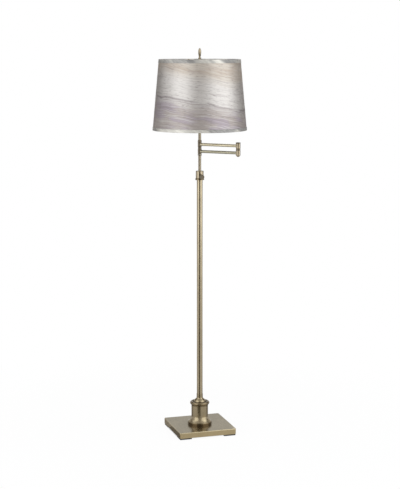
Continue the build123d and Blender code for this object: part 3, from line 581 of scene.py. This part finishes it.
@dataclass(frozen=True)
class BiasTape(Finish):
    """Satin tape cut on the slant, so that its streaks cross the band."""

    name: str
    radius: float
    seam: float
    lift: float
    seed: float
    slant: Corner = (0.55, 0.83)
    drift_scale: float = 6.0
    drift_share: float = 0.55
    contrast: float = 0.16
    roughness: float = 0.44
    yarn_depth: float = 0.05 * MM
    tones: tuple[Stop, ...] = (
        (0.36, (0.14, 0.135, 0.13)), (0.45, (0.28, 0.27, 0.255)),
        (0.53, (0.47, 0.45, 0.41)), (0.64, (0.62, 0.595, 0.54)))

    def paint(self, surface: Surface) -> None:
        """Paint a material."""
        turned = surface.add("ShaderNodeVectorRotate", {"rotation_type": "Z_AXIS"},
                             {"Vector": surface.place, "Angle": math.pi - self.seam})
        x, y, z = surface.parts(turned)
        arc = surface.maths("ARCTAN2", y, x) * self.radius
        level, upright = self.slant
        across = arc * level + z * upright
        along = arc * upright - z * level

        def woven(weave: TapeWeave, seed: float, detail: float, twist: float = 0.0) -> Sock:
            """One pattern of the slanted yarns, from 0 to 1."""
            over, down = weave.value
            return surface.clouds(surface.joined(across * over, along * down, seed), 1.0, detail, twist)

        drift = surface.clouds(surface.joined(arc * self.drift_scale, 0.0, self.seed), 1.0, detail=2.0)
        patch = woven(TapeWeave.PATCH, self.seed, detail=3.0, twist=0.3)
        fine = woven(TapeWeave.FINE, 0.6, detail=4.0)
        yarn = woven(TapeWeave.YARN, 0.9, detail=2.0)
        cloudy = drift * self.drift_share + patch * (1.0 - self.drift_share)
        shade = surface.varied(cloudy, fine, self.contrast) + self.lift
        surface.shade({
            "Base Color": surface.ramp(shade, self.tones), "Metallic": 0.45,
            "Roughness": surface.varied(self.roughness, fine, spread=0.08),
            "Sheen Weight": 0.08, "Sheen Roughness": 0.4,
            "Normal": surface.relief(yarn * 0.5 + fine * 0.5, self.yarn_depth, strength=0.4)})


@dataclass(frozen=True)
class PaleFloor(Finish):
    """A white floor with a soft shadow near the lamp and a deep one under its base."""

    half: float
    name: str = "pale_floor"
    tone: Colour = (0.9, 0.9, 0.9)
    glow: float = 0.94
    near: float = 0.45
    far: float = 1.5
    inset: float = 5 * MM
    lit_front: float = 18 * MM
    front_fade: float = 8 * MM
    depth: float = 0.8

    def paint(self, surface: Surface) -> None:
        """Paint a material."""
        x, y, _ = surface.parts(surface.place)
        away = surface.band(surface.maths("SQRT", x * x + y * y), self.near, self.far)
        glow = (self.glow + away * (1.0 - self.glow)) * (1.0 - self._covered(surface, x, y) * self.depth)
        matt = surface.add("ShaderNodeBsdfDiffuse", None, {"Color": self.tone})
        white = surface.add("ShaderNodeEmission", None, {"Color": WHITE, "Strength": 1.0})
        surface.output(surface.add("ShaderNodeMixShader", None, {
            0: surface.seen() * glow, 1: matt, 2: white}))

    def _covered(self, surface: Surface, x: Sock, y: Sock) -> Sock:
        """How far each point lies under the base, behind its lit front strip."""
        front = self.lit_front - self.half
        sides = self.half - self.inset, self.half + MM
        behind = surface.band(y, front - self.front_fade, front + self.front_fade)
        under = (1.0 - surface.band(abs(x), *sides)) * (1.0 - surface.band(y, *sides))
        return behind * under


@dataclass(frozen=True)
class CardCloth(Finish):
    """The cloth of the cards that shape the reflections."""

    name: str
    tone: Colour

    def paint(self, surface: Surface) -> None:
        """Paint a material."""
        surface.output(surface.add("ShaderNodeEmission", None, {"Color": self.tone, "Strength": 1.0}))


def heights_over(node: str, low: float, high: float) -> Range:
    """Two heights over a CAD node's foot, as heights over the floor."""
    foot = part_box(node)[0][2]
    return foot + low, foot + high


ARM_TURN = math.radians(45)
# Heights of the bands of painted shade on the plate's sides, the bell's lip, the cap's rolled rim and the
# collar's foot.
PLATE_SIDE_SHADE = heights_over("base_cover", -6 * MM, 21 * MM)
BELL_LIP_SHADE = heights_over("pedestal_bell", -1 * MM, 14.5 * MM)
CAP_ROLL_SHADE = heights_over("pedestal_cap", 8 * MM, 22.5 * MM)
COLLAR_FOOT_SHADE = heights_over("clamp_collar", -1.1 * MM, 8.9 * MM)

PLATE_BRASS = AgedBrass("plate_brass", Marks.ACROSS, tone=(0.44, 0.37, 0.235), shadow=(0.2, 0.12, 0.015),
                        roughness=0.2, ring=PLATE_SIDE_SHADE, ring_shade_depth=0.4, lacquer=0.4)
TURNED_BRASS = AgedBrass("turned_brass", Marks.ROUND, tone=(0.265, 0.215, 0.135), crease=0.8)
BELL_BRASS = replace(TURNED_BRASS, name="bell_brass", shadow=(0.075, 0.052, 0.027), crease=0.4,
                     ring=BELL_LIP_SHADE, ring_shade_depth=1.0, ring_shade_fade=8 * MM)
CAP_BRASS = replace(TURNED_BRASS, name="cap_brass", ring=CAP_ROLL_SHADE, ring_shade_depth=0.6)
DARK_BRASS = AgedBrass("dark_brass", Marks.ROUND, tone=(0.125, 0.102, 0.07), crease=0.8, lacquer=0.15)
KNUCKLE_BRASS = AgedBrass("knuckle_brass", Marks.ROUND, tone=(0.29, 0.24, 0.165), crease=0.6)
COLLAR_BRASS = replace(KNUCKLE_BRASS, name="collar_brass", ring=COLLAR_FOOT_SHADE, ring_shade_depth=0.8)
TUBE_BRASS = AgedBrass("tube_brass", Marks.UPRIGHT)
# The stem and riser are a darker copy of the tube brass: the difference is painted shade under the arm
# barrels and the lampshade.
SHADED_STEM_BRASS = AgedBrass("shaded_stem_brass", Marks.UPRIGHT, tone=(0.23, 0.195, 0.14))
# The knob's dark tone is painted shade and painted reflection; the real knob is the same brass as the rest
# of the lamp.
SHADED_KNOB_BRASS = AgedBrass("shaded_knob_brass", Marks.ROUND, tone=(0.1, 0.083, 0.06), crease=0.8, lacquer=0.1)
ARM_BRASS = AgedBrass("arm_brass", Marks.ARM, tone=(0.42, 0.37, 0.262), turn=ARM_TURN)
# The lower arm tube is a darker copy of the arm brass: the difference is painted shade under the upper arm.
SHADED_LOW_ARM_BRASS = AgedBrass("shaded_low_arm_brass", Marks.ARM, tone=(0.267, 0.245, 0.178), turn=ARM_TURN)
BRIGHT_BRASS = PlatedMetal("bright_brass", (0.72, 0.56, 0.29), 0.24)
STEEL = PlatedMetal("plated_steel", (0.58, 0.58, 0.57), 0.34)
LAMP_METAL = PlatedMetal("lamp_metal", (0.72, 0.72, 0.73), 0.27)
IRON = CastIron()
RUBBER = Moulded("black_rubber", (0.022, 0.02, 0.018), 0.62, 500.0, 0.06 * MM)
NYLON = Moulded("nylon", (0.74, 0.71, 0.64), 0.42)
RESIN = Moulded("dark_resin", (0.028, 0.024, 0.02), 0.36)
PAPER = Moulded("insulating_paper", (0.40, 0.31, 0.21), 0.8, 350.0, 0.05 * MM)
LINER = Moulded("styrene", (0.86, 0.85, 0.82), 0.45, 260.0, 0.03 * MM)
GLASS = FrostedGlass()


def dress(finish: Finish, names: Iterable[str]) -> None:
    """Give CAD nodes a finish.

    Args:
        finish: The finish to show.
        names: The nodes that get it.
    """
    for name in names:
        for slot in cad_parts[name].material_slots:
            slot.material = material_of(finish)
        LOG.info("%s dressed in %s", name, finish.name)


def ring_mesh(name: str, angles: Sequence[float], profile: Profile) -> bpy.types.Object:
    """Sweep a closed profile once round the Z axis.

    Args:
        name: The new object's name.
        angles: Where the profile is placed, rising, in radians.
        profile: Gives the (radius, height) corners at an angle, outer face upwards first.

    Returns:
        The new object, in the scene.
    """
    loops = [profile(angle) for angle in angles]
    size = len(loops[0])
    points = [(radius * math.cos(angle), radius * math.sin(angle), height)
              for angle, loop in zip(angles, loops) for radius, height in loop]
    faces = []
    for column in range(len(loops)):
        here, after = column * size, (column + 1) % len(loops) * size
        for row in range(size):
            above = (row + 1) % size
            faces.append((here + row, after + row, after + above, here + above))
    return add_mesh(name, points, faces)


def add_mesh(name: str, points: Sequence[Sequence[float]],
             faces: Sequence[Sequence[int]]) -> bpy.types.Object:
    """Put a smooth shaded mesh in the scene.

    Args:
        name: The new object's name.
        points: Its corners, in metres.
        faces: Its faces, as numbers of corners.

    Returns:
        The new object.
    """
    mesh = bpy.data.meshes.new(name)
    mesh.from_pydata(points, [], faces)
    mesh.shade_smooth()
    mesh.set_sharp_from_angle(angle=SHARP_ANGLE)
    piece = bpy.data.objects.new(name, mesh)
    bpy.context.scene.collection.objects.link(piece)
    return piece


def eased(value: float, low: float, high: float) -> float:
    """A smooth step from 0 at low to 1 at high."""
    share = min(1.0, max(0.0, (value - low) / (high - low)))
    return share * share * (3 - 2 * share)


class Assembly:
    """A group of CAD nodes that is dressed together, with the nodes of each finish."""

    finishes: ClassVar[Mapping[Finish, Sequence[str]]]

    def build(self) -> None:
        """Dress the nodes."""
        for finish, names in self.finishes.items():
            dress(finish, names)


class Base(Assembly):
    """The square weighted base and the rod that ties the stand together."""

    finishes = {
        PLATE_BRASS: ("base_cover",),
        IRON: ("base_weight",),
        STEEL: ("base_sheet", "tie_rod", "base_washer", "base_nut"),
        RUBBER: ("base_feet", "cord_grommet"),
    }


class Column(Assembly):
    """The turned pedestal, the pole, the clamp and the sliding stem."""

    finishes = {
        BELL_BRASS: ("pedestal_bell",),
        TURNED_BRASS: ("pedestal_sleeve",),
        CAP_BRASS: ("pedestal_cap",),
        COLLAR_BRASS: ("clamp_collar",),
        DARK_BRASS: ("stem_bearing",),
        SHADED_KNOB_BRASS: ("clamp_knob",),
        TUBE_BRASS: ("lower_pole", "upper_pole"),
        SHADED_STEM_BRASS: ("stem_tube",),
        STEEL: ("pole_plug", "pole_coupling", "clamp_screw", "stem_stop"),
        NYLON: ("guide_bush", "friction_washer"),
    }


class SwingArm(Assembly):
    """The two arm tubes, their barrels and the elbow."""

    finishes = {
        ARM_BRASS: ("upper_arm_tube",),
        SHADED_LOW_ARM_BRASS: ("lower_arm_tube",),
        KNUCKLE_BRASS: ("elbow_lower_barrel", "elbow_upper_barrel", "elbow_nut"),
        DARK_BRASS: ("lower_pivot_cap", "lower_arm_barrel", "elbow_spacer", "elbow_cap", "head_barrel",
                     "head_cap"),
        STEEL: ("lower_pivot", "elbow_pin", "head_nipple"),
    }


class LampHolder(Assembly):
    """The riser, harp, socket, bulb and finial."""

    finishes = {
        DARK_BRASS: ("riser_seat", "harp_stud"),
        SHADED_STEM_BRASS: ("riser_tube",),
        KNUCKLE_BRASS: ("finial",),
        BRIGHT_BRASS: ("harp_saddle", "harp", "harp_ferrules", "socket_cap", "socket_shell"),
        STEEL: ("socket_nipple",),
        PAPER: ("socket_liner",),
        RESIN: ("socket_core", "switch_key"),
        LAMP_METAL: ("screw_shell", "bulb_foot"),
        GLASS: ("bulb_globe",),
    }


@dataclass
class ShadeForm:
    """The tapered drum that the fabric and its tapes lie on."""

    bottom_radius: float
    top_radius: float
    low: float
    top: float
    seam: float = math.radians(80)
    seam_drop: float = 0.15 * MM

    @classmethod
    def measured(cls, node: str) -> "ShadeForm":
        """Measure a drum on its CAD node.

        Args:
            node: The node's name.

        Returns:
            The drum, with its sizes rounded to a micrometre.
        """
        low, top = (corner[2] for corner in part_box(node))
        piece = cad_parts[node]
        corners = [piece.matrix_world @ vertex.co for vertex in piece.data.vertices]
        radii = [max(corner.xy.length for corner in corners if abs(corner.z - height) < MM)
                 for height in (low, top)]
        return cls(*(round(size, 6) for size in (*radii, low, top)))

    def radius(self, height: float) -> float:
        """The drum's outer radius at a height."""
        share = (height - self.low) / (self.top - self.low)
        return self.bottom_radius + (self.top_radius - self.bottom_radius) * share

    def lap(self, angle: float, width: float, rise: float) -> float:
        """How far a lapped end stands off the drum.

        Args:
            angle: Where round the drum, in radians.
            width: The lap's width along the arc.
            rise: Its thickness.

        Returns:
            The stand-off, which rises slowly and drops at the seam.
        """
        left = (self.seam - angle) % FULL_TURN * self.top_radius
        return rise * (1.0 - eased(left, width, 2 * width))

    def angles(self, count: int, extra: Iterable[float] = ()) -> list[float]:
        """Angles round the drum, with two more at the seam's drop and any others asked for."""
        drop = self.seam_drop / self.top_radius
        even = [self.seam + drop + FULL_TURN * step / count for step in range(count)]
        return sorted({*even, self.seam + FULL_TURN - drop, *extra})


@dataclass
class SatinSkin:
    """The satin that covers the drum, with a lapped seam at the back."""

    form: ShadeForm
    thickness: float = 0.8 * MM
    lap_width: float = 9.0 * MM
    ripple: float = 0.12 * MM
    ripples_round: float = 3.0
    ripples_up: float = 7.0
    columns: int = 300
    rows: int = 30

    def profile(self, angle: float) -> list[Corner]:
        """The skin's (radius, height) corners at an angle."""
        form, around = self.form, self.ripples_round
        heights = [form.low + (form.top - form.low) * row / self.rows for row in range(self.rows + 1)]
        outer = []
        for height in heights:
            spot = Vector((around * math.cos(angle), around * math.sin(angle), self.ripples_up * height))
            proud = form.lap(angle, self.lap_width, self.thickness) + self.ripple * noise.noise(spot)
            outer.append((form.radius(height) + proud, height))
        inner = [(form.radius(height) - self.thickness, height) for height in reversed(heights)]
        return outer + inner

    def flat(self) -> tuple[float, float, float]:
        """The width, length and area of the skin's flat cut."""
        form = self.form
        slope = math.atan2(form.bottom_radius - form.top_radius, form.top - form.low)
        outer, inner = (radius / math.sin(slope) for radius in (form.bottom_radius, form.top_radius))
        half = math.pi * math.sin(slope)
        width, length = 2 * outer * math.sin(half), outer - inner * math.cos(half)
        return width, length, half * (outer ** 2 - inner ** 2)

    def build(self) -> bpy.types.Object:
        """Make the skin."""
        return ring_mesh("satin_skin", self.form.angles(self.columns), self.profile)


@dataclass
class EdgeTape:
    """A satin tape folded over one edge of the drum."""

    name: str
    form: ShadeForm
    edge: float
    outward: int
    band: float
    spokes: Sequence[float] = ()
    thickness: float = 0.9 * MM
    fold: float = 0.5 * MM
    turn_in: float = 8.0 * MM
    depth: float = 4.9 * MM
    notch: float = 3.0 * MM
    notch_ease: float = 1.4
    slit_end: float = 0.3 * MM
    hem_low: float = 1.0 * MM
    hem_top: float = 3.0 * MM
    foot_lift: float = 0.4
    foot_round: float = 0.25 * MM
    seats: tuple[float, float] = (0.3, 0.97)
    crease: float = 0.35 * MM
    creases_along: float = 70.0
    creases_across: float = 90.0
    crease_sway: float = 16.0
    crease_seed: float = 0.37
    waver: float = 0.4 * MM
    wavers_round: float = 9.0
    lap_width: float = 7.0 * MM
    columns: int = 420
    rows: int = 8

    def _turned_in(self, angle: float) -> float:
        """How deep the tape turns in at an angle; it is slit where a spoke passes."""
        reach = self.turn_in
        for spoke in self.spokes:
            off = abs((angle - spoke + math.pi) % FULL_TURN - math.pi) * self.form.top_radius
            clear = eased(off, self.notch, self.notch_ease * self.notch)
            reach = min(reach, self.slit_end + (self.turn_in - self.slit_end) * clear)
        return reach

    def _proud(self, angle: float, drop: float) -> float:
        """How far the tape's face stands off the drum, at an angle and a drop from the edge."""
        arc = angle * self.form.top_radius
        slanted = noise.noise(Vector((
            self.creases_along * arc + self.creases_across * drop, self.crease_sway * arc,
            self.crease_seed * self.band / MM)))
        hem = self.fold * eased(drop, self.band - self.hem_top, self.band - self.hem_low)
        lap = self.form.lap(angle, self.lap_width, self.thickness)
        return self.thickness + hem + self.crease * slanted + lap

    def _on_drum(self, drop: float, proud: float = 0.0) -> Corner:
        """The corner at a drop from the edge that stands so far off the drum."""
        height = self.edge - self.outward * drop
        return self.form.radius(height) + proud, height

    def profile(self, angle: float) -> list[Corner]:
        """The tape's (radius, height) corners at an angle."""
        around = self.wavers_round
        spot = Vector((around * math.cos(angle), around * math.sin(angle), self.band / MM))
        band = self.band + self.waver * noise.noise(spot)
        drops = [band * (1 - row / self.rows) for row in range(self.rows)]
        outer = [self._on_drum(drop, self._proud(angle, drop)) for drop in drops]
        under = [self._on_drum(share * band) for share in self.seats]
        corners = [self._foot(band), *outer, *self._crown(angle), *under]
        return corners if self.outward > 0 else corners[::-1]

    def _foot(self, band: float) -> Corner:
        """The rounded corner at the end of the tape's face."""
        radius, height = self._on_drum(band, self.foot_lift * self.thickness)
        return radius, height - self.outward * self.foot_round

    def _crown(self, angle: float) -> list[Corner]:
        """The corners that fold over the drum's edge and turn in behind it."""
        edge, out, over = self.edge, self.outward, self.thickness
        rim = self.form.radius(edge)
        face, back = rim + self._proud(angle, 0.0), rim - self.depth
        end = edge - out * self._turned_in(angle)
        return [
            (face, edge + out * 0.2 * over), (face - 0.3 * over, edge + out * 0.75 * over),
            (face - over, edge + out * over), (back + 0.3 * over, edge + out * over),
            (back - 0.7 * over, edge + out * 0.7 * over), (back - over, edge - out * 0.1 * over),
            (back - over, end), (back, end), (back, edge - out * 0.1 * over), (rim, edge)]

    def build(self) -> bpy.types.Object:
        """Make the tape."""
        near = (-1.5, -1.2, -1.0, -0.5, 0.0, 0.5, 1.0, 1.2, 1.5)
        step = self.notch / self.form.top_radius
        slits = [self._after_seam(spoke + share * step) for spoke in self.spokes for share in near]
        return ring_mesh(self.name, self.form.angles(self.columns, slits), self.profile)

    def _after_seam(self, angle: float) -> float:
        """The same angle, in the turn that starts at the seam."""
        return self.form.seam + (angle - self.form.seam) % FULL_TURN


class Shade(Assembly):
    """The drum shade: its satin, tapes, liner and wire frame."""

    finishes = {LINER: ("shade_liner",), BRIGHT_BRASS: ("shade_fitter",), STEEL: ("shade_bottom_ring",)}
    spokes = tuple(math.radians(turn) for turn in (90, 210, 330))

    def build(self) -> None:
        """Dress the frame, then make the satin and its tapes."""
        super().build()
        form = ShadeForm.measured("shade_fabric")
        satin = SatinSkin(form)
        skin = satin.build()
        streaks = StreakedSatin(low=form.low, height=form.top - form.low)
        self._wear(skin, streaks, "shade_fabric", "satin_fabric")
        top = EdgeTape("top_tape", form, form.top, 1, 14.0 * MM, self.spokes)
        bottom = EdgeTape("bottom_tape", form, form.low, -1, 12.5 * MM)
        # The lifts and seeds are picked so that each tape's cloudy tone is paler where the highlight falls
        # across the front and greyer towards the sides: painted highlight and painted shade over the tape's
        # own tone.
        for tape, node, lift, seed in ((top, "shade_top_trim", -0.03, 3.5),
                                       (bottom, "shade_bottom_trim", -0.01, 7.4)):
            band = tape.build()
            satin_tape = BiasTape(f"{tape.name}_satin", form.radius(tape.edge), form.seam, lift, seed)
            self._wear(band, satin_tape, node, "trim_fabric")
        width, length, area = satin.flat()

    @staticmethod
    def _wear(piece: bpy.types.Object, finish: Finish, node: str, slot: str) -> None:
        """Dress a new piece and let it stand for its CAD node."""
        piece.data.materials.append(material_of(finish))
        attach(piece, "shade")
        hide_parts(node)
        LOG.info("%s made for %s", piece.name, node)


@dataclass(frozen=True)
class Softbox:
    """A tall soft light that leans in over the lamp; its turn is in degrees from the camera, rightwards."""

    name: str
    turn: float
    width: float
    radiance: float
    far: float = 3.4
    near: float = 2.7
    low: float = 0.2
    top: float = 3.7
    tint: Colour = (0.935, 0.975, 1.0)


@dataclass(frozen=True)
class Arc:
    """One row of a curved card: from and to which turn in degrees, how far out and how high."""

    first: float
    last: float
    distance: float
    height: float = 0.0


@dataclass(frozen=True)
class Card:
    """A card that curves round the lamp and shows only in reflections."""

    name: str
    tone: Colour
    arcs: tuple[Arc, ...]


def side_cards(name: str, side: int) -> tuple[Card, ...]:
    """The cards at one side: a grey floor, a dark wall and a pale card beside the bell.

    Args:
        name: The side's name.
        side: 1 for the right, -1 for the left.

    Returns:
        The three cards.
    """
    def arcs(first: float, last: float, places: Iterable[Corner]) -> tuple[Arc, ...]:
        """Rows between two turns, at each (distance, height)."""
        return tuple(Arc(first * side, last * side, *place) for place in places)

    floor = ((0.15, 0.0), (0.5, 0.0), (1.6, 0.0))
    return (
        Card(f"{name}_floor_card", (0.45, 0.42, 0.38), arcs(100, 168, floor)),
        Card(f"{name}_card", (0.08, 0.06, 0.045), arcs(108, 160, ((3.2, 0.9), (3.2, 3.4)))),
        Card(f"{name}_bell_card", (0.8, 0.78, 0.74), arcs(112, 152, ((0.33, 0.11), (0.33, 0.3)))))


@dataclass
class Studio:
    """The white studio: floor, light, reflection cards and camera."""

    bearing: float = math.radians(17.0)
    aim: float = 0.00022
    distance: float = 5.6
    height: float = 1.69
    pitch: float = 0.1523
    lens: float = 96.13
    sensor: float = 36.0
    fill: float = 0.6
    floor_half: float = 40.0
    floor_drop: float = 0.2 * MM
    card_lift: float = 2 * MM
    softboxes: tuple[Softbox, ...] = (
        Softbox("left_softbox", -48, 2.6, 1.6),
        Softbox("right_softbox", 60, 3.4, 1.6),
        Softbox("left_top_softbox", -86, 1.7, 0.8, far=2.7, near=1.7, low=2.2, top=3.6),
        Softbox("right_top_softbox", 86, 1.7, 1.0, far=2.7, near=1.7, low=2.2, top=3.6))
    cards: tuple[Card, ...] = (
        Card("front_card", (0.12, 0.104, 0.062), (
            Arc(-18, 11, 0.27), Arc(-34, 11, 0.5), Arc(-34, 11, 2.2), Arc(-27, 14, 6.6),
            Arc(-27, 14, 6.6, 1.0), Arc(-15, 12, 6.6, 1.5))),
        Card("high_card", (0.62, 0.6, 0.58), (
            Arc(-15, 12, 6.6, 1.5), Arc(-15, 12, 6.6, 4.6), Arc(-15, 12, 0.3, 4.6))),
        *side_cards("left", -1),
        *side_cards("right", 1),
        Card("back_card", (0.55, 0.55, 0.55), (Arc(164, 196, 3.6, 0.2), Arc(164, 196, 3.6, 2.8))))
    card_columns: int = 9
    # A dark card at the left of the base stands for the floor's shade there, as painted shade in the
    # plate's reflection.
    shade_card_tone: Colour = (0.2, 0.185, 0.16)
    shade_card_reach: Range = (2 * MM, 65 * MM)
    shade_card_front: float = 5 * MM
    shade_card_back: float = 0.3

    def towards(self, turn: float, distance: float, height: float = 0.0) -> Vector:
        """A point at a turn from the camera's bearing, anticlockwise from above."""
        angle = turn - self.bearing - math.pi / 2
        return Vector((distance * math.cos(angle), distance * math.sin(angle), height))

    def build(self) -> None:
        """Set up the whole studio."""
        self._world()
        self._floor()
        for softbox in self.softboxes:
            self._softbox(softbox)
        for card in self.cards:
            self._card(card.name, self._curved(card.arcs), card.tone)
        self._left_shade_card()
        self._camera()

    def _world(self) -> None:
        """White where it is seen or mirrored, and a softer fill for matt surfaces."""
        world = bpy.data.worlds.new("studio")
        bpy.context.scene.world = world
        world.use_nodes = True
        graph = Graph(world.node_tree)
        white = graph.add("ShaderNodeBackground", None, {"Color": WHITE, "Strength": 1.0})
        fill = graph.add("ShaderNodeBackground", None, {"Color": WHITE, "Strength": self.fill})
        both = graph.add("ShaderNodeMixShader", None, {0: graph.seen(), 1: fill, 2: white})
        graph.add("ShaderNodeOutputWorld", None, {"Surface": both})

    def _floor(self) -> None:
        """A wide pale floor."""
        half = self.floor_half
        signs = ((-1, -1), (1, -1), (1, 1), (-1, 1))
        corners = [(x * half, y * half, -self.floor_drop) for x, y in signs]
        floor = add_mesh("floor", corners, [(0, 1, 2, 3)])
        floor.data.materials.append(material_of(PaleFloor(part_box("base_cover")[1][0])))

    def _softbox(self, box: Softbox) -> None:
        """Hang a soft light so that its face looks at the lamp."""
        light = bpy.data.lights.new(box.name, "AREA")
        light.shape = "RECTANGLE"
        turn = math.radians(box.turn)
        low, top = self.towards(turn, box.far, box.low), self.towards(turn, box.near, box.top)
        light.size, light.size_y = box.width, (top - low).length
        light.energy = box.radiance * math.pi * light.size * light.size_y
        light.color = box.tint
        lamp = bpy.data.objects.new(box.name, light)
        lamp.location = (low + top) / 2
        level = self.towards(turn + math.pi / 2, 1.0)
        lamp.rotation_euler = (top - low).cross(level).to_track_quat("-Z", "Y").to_euler()
        lamp.visible_camera = False
        bpy.context.scene.collection.objects.link(lamp)

    def _curved(self, arcs: Sequence[Arc]) -> list[list[Vector]]:
        """Lay out a card's corners in rows that curve round the lamp.

        Args:
            arcs: The card's rows.

        Returns:
            The corners, row by row.
        """
        rows = []
        for arc in arcs:
            step = (arc.last - arc.first) / (self.card_columns - 1)
            turns = [math.radians(arc.first + step * column) for column in range(self.card_columns)]
            rows.append([self.towards(turn, arc.distance, arc.height) for turn in turns])
        return rows

    def _left_shade_card(self) -> None:
        """Lay a dark card, seen only in reflections, on the floor along the left of the base: painted shade
        that the plate's left face mirrors.
        """
        left, front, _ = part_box("base_cover")[0]
        rows = [[Vector((left - away, y, 0.0)) for y in (front - self.shade_card_front, self.shade_card_back)]
                for away in self.shade_card_reach]
        self._card("left_shade_card", rows, self.shade_card_tone)

    def _card(self, name: str, rows: Sequence[Sequence[Vector]], tone: Colour) -> None:
        """Make a card, a little over the floor, that only mirrors see.

        Args:
            name: The card's name.
            rows: Its corners, row by row.
            tone: How bright it is.
        """
        columns = len(rows[0])
        points = [tuple(point + Vector((0, 0, self.card_lift))) for row in rows for point in row]
        faces = [(corner, corner + 1, corner + columns + 1, corner + columns)
                 for corner in range(columns * (len(rows) - 1)) if corner % columns < columns - 1]
        card = add_mesh(name, points, faces)
        card.data.materials.append(material_of(CardCloth(f"{name}_cloth", tone)))
        card.visible_camera = card.visible_diffuse = card.visible_shadow = False
        card.visible_transmission = card.visible_volume_scatter = False

    def _camera(self) -> None:
        """The camera at the photograph's place."""
        data = bpy.data.cameras.new("camera")
        data.lens, data.sensor_width = self.lens, self.sensor
        camera = bpy.data.objects.new("camera", data)
        camera.location = self.towards(0.0, self.distance, self.height)
        camera.rotation_euler = Euler((math.pi / 2 - self.pitch, 0.0, -self.bearing - self.aim))
        bpy.context.scene.collection.objects.link(camera)
        bpy.context.scene.camera = camera


def main() -> None:
    """Dress the lamp and set up its studio."""
    logging.basicConfig(level=logging.INFO, format="%(name)s: %(message)s")
    bpy.context.scene.view_settings.view_transform = "Standard"
    for assembly in (Base(), Column(), SwingArm(), LampHolder(), Shade()):
        assembly.build()
    Studio().build()


if __name__ == "__main__":
    main()
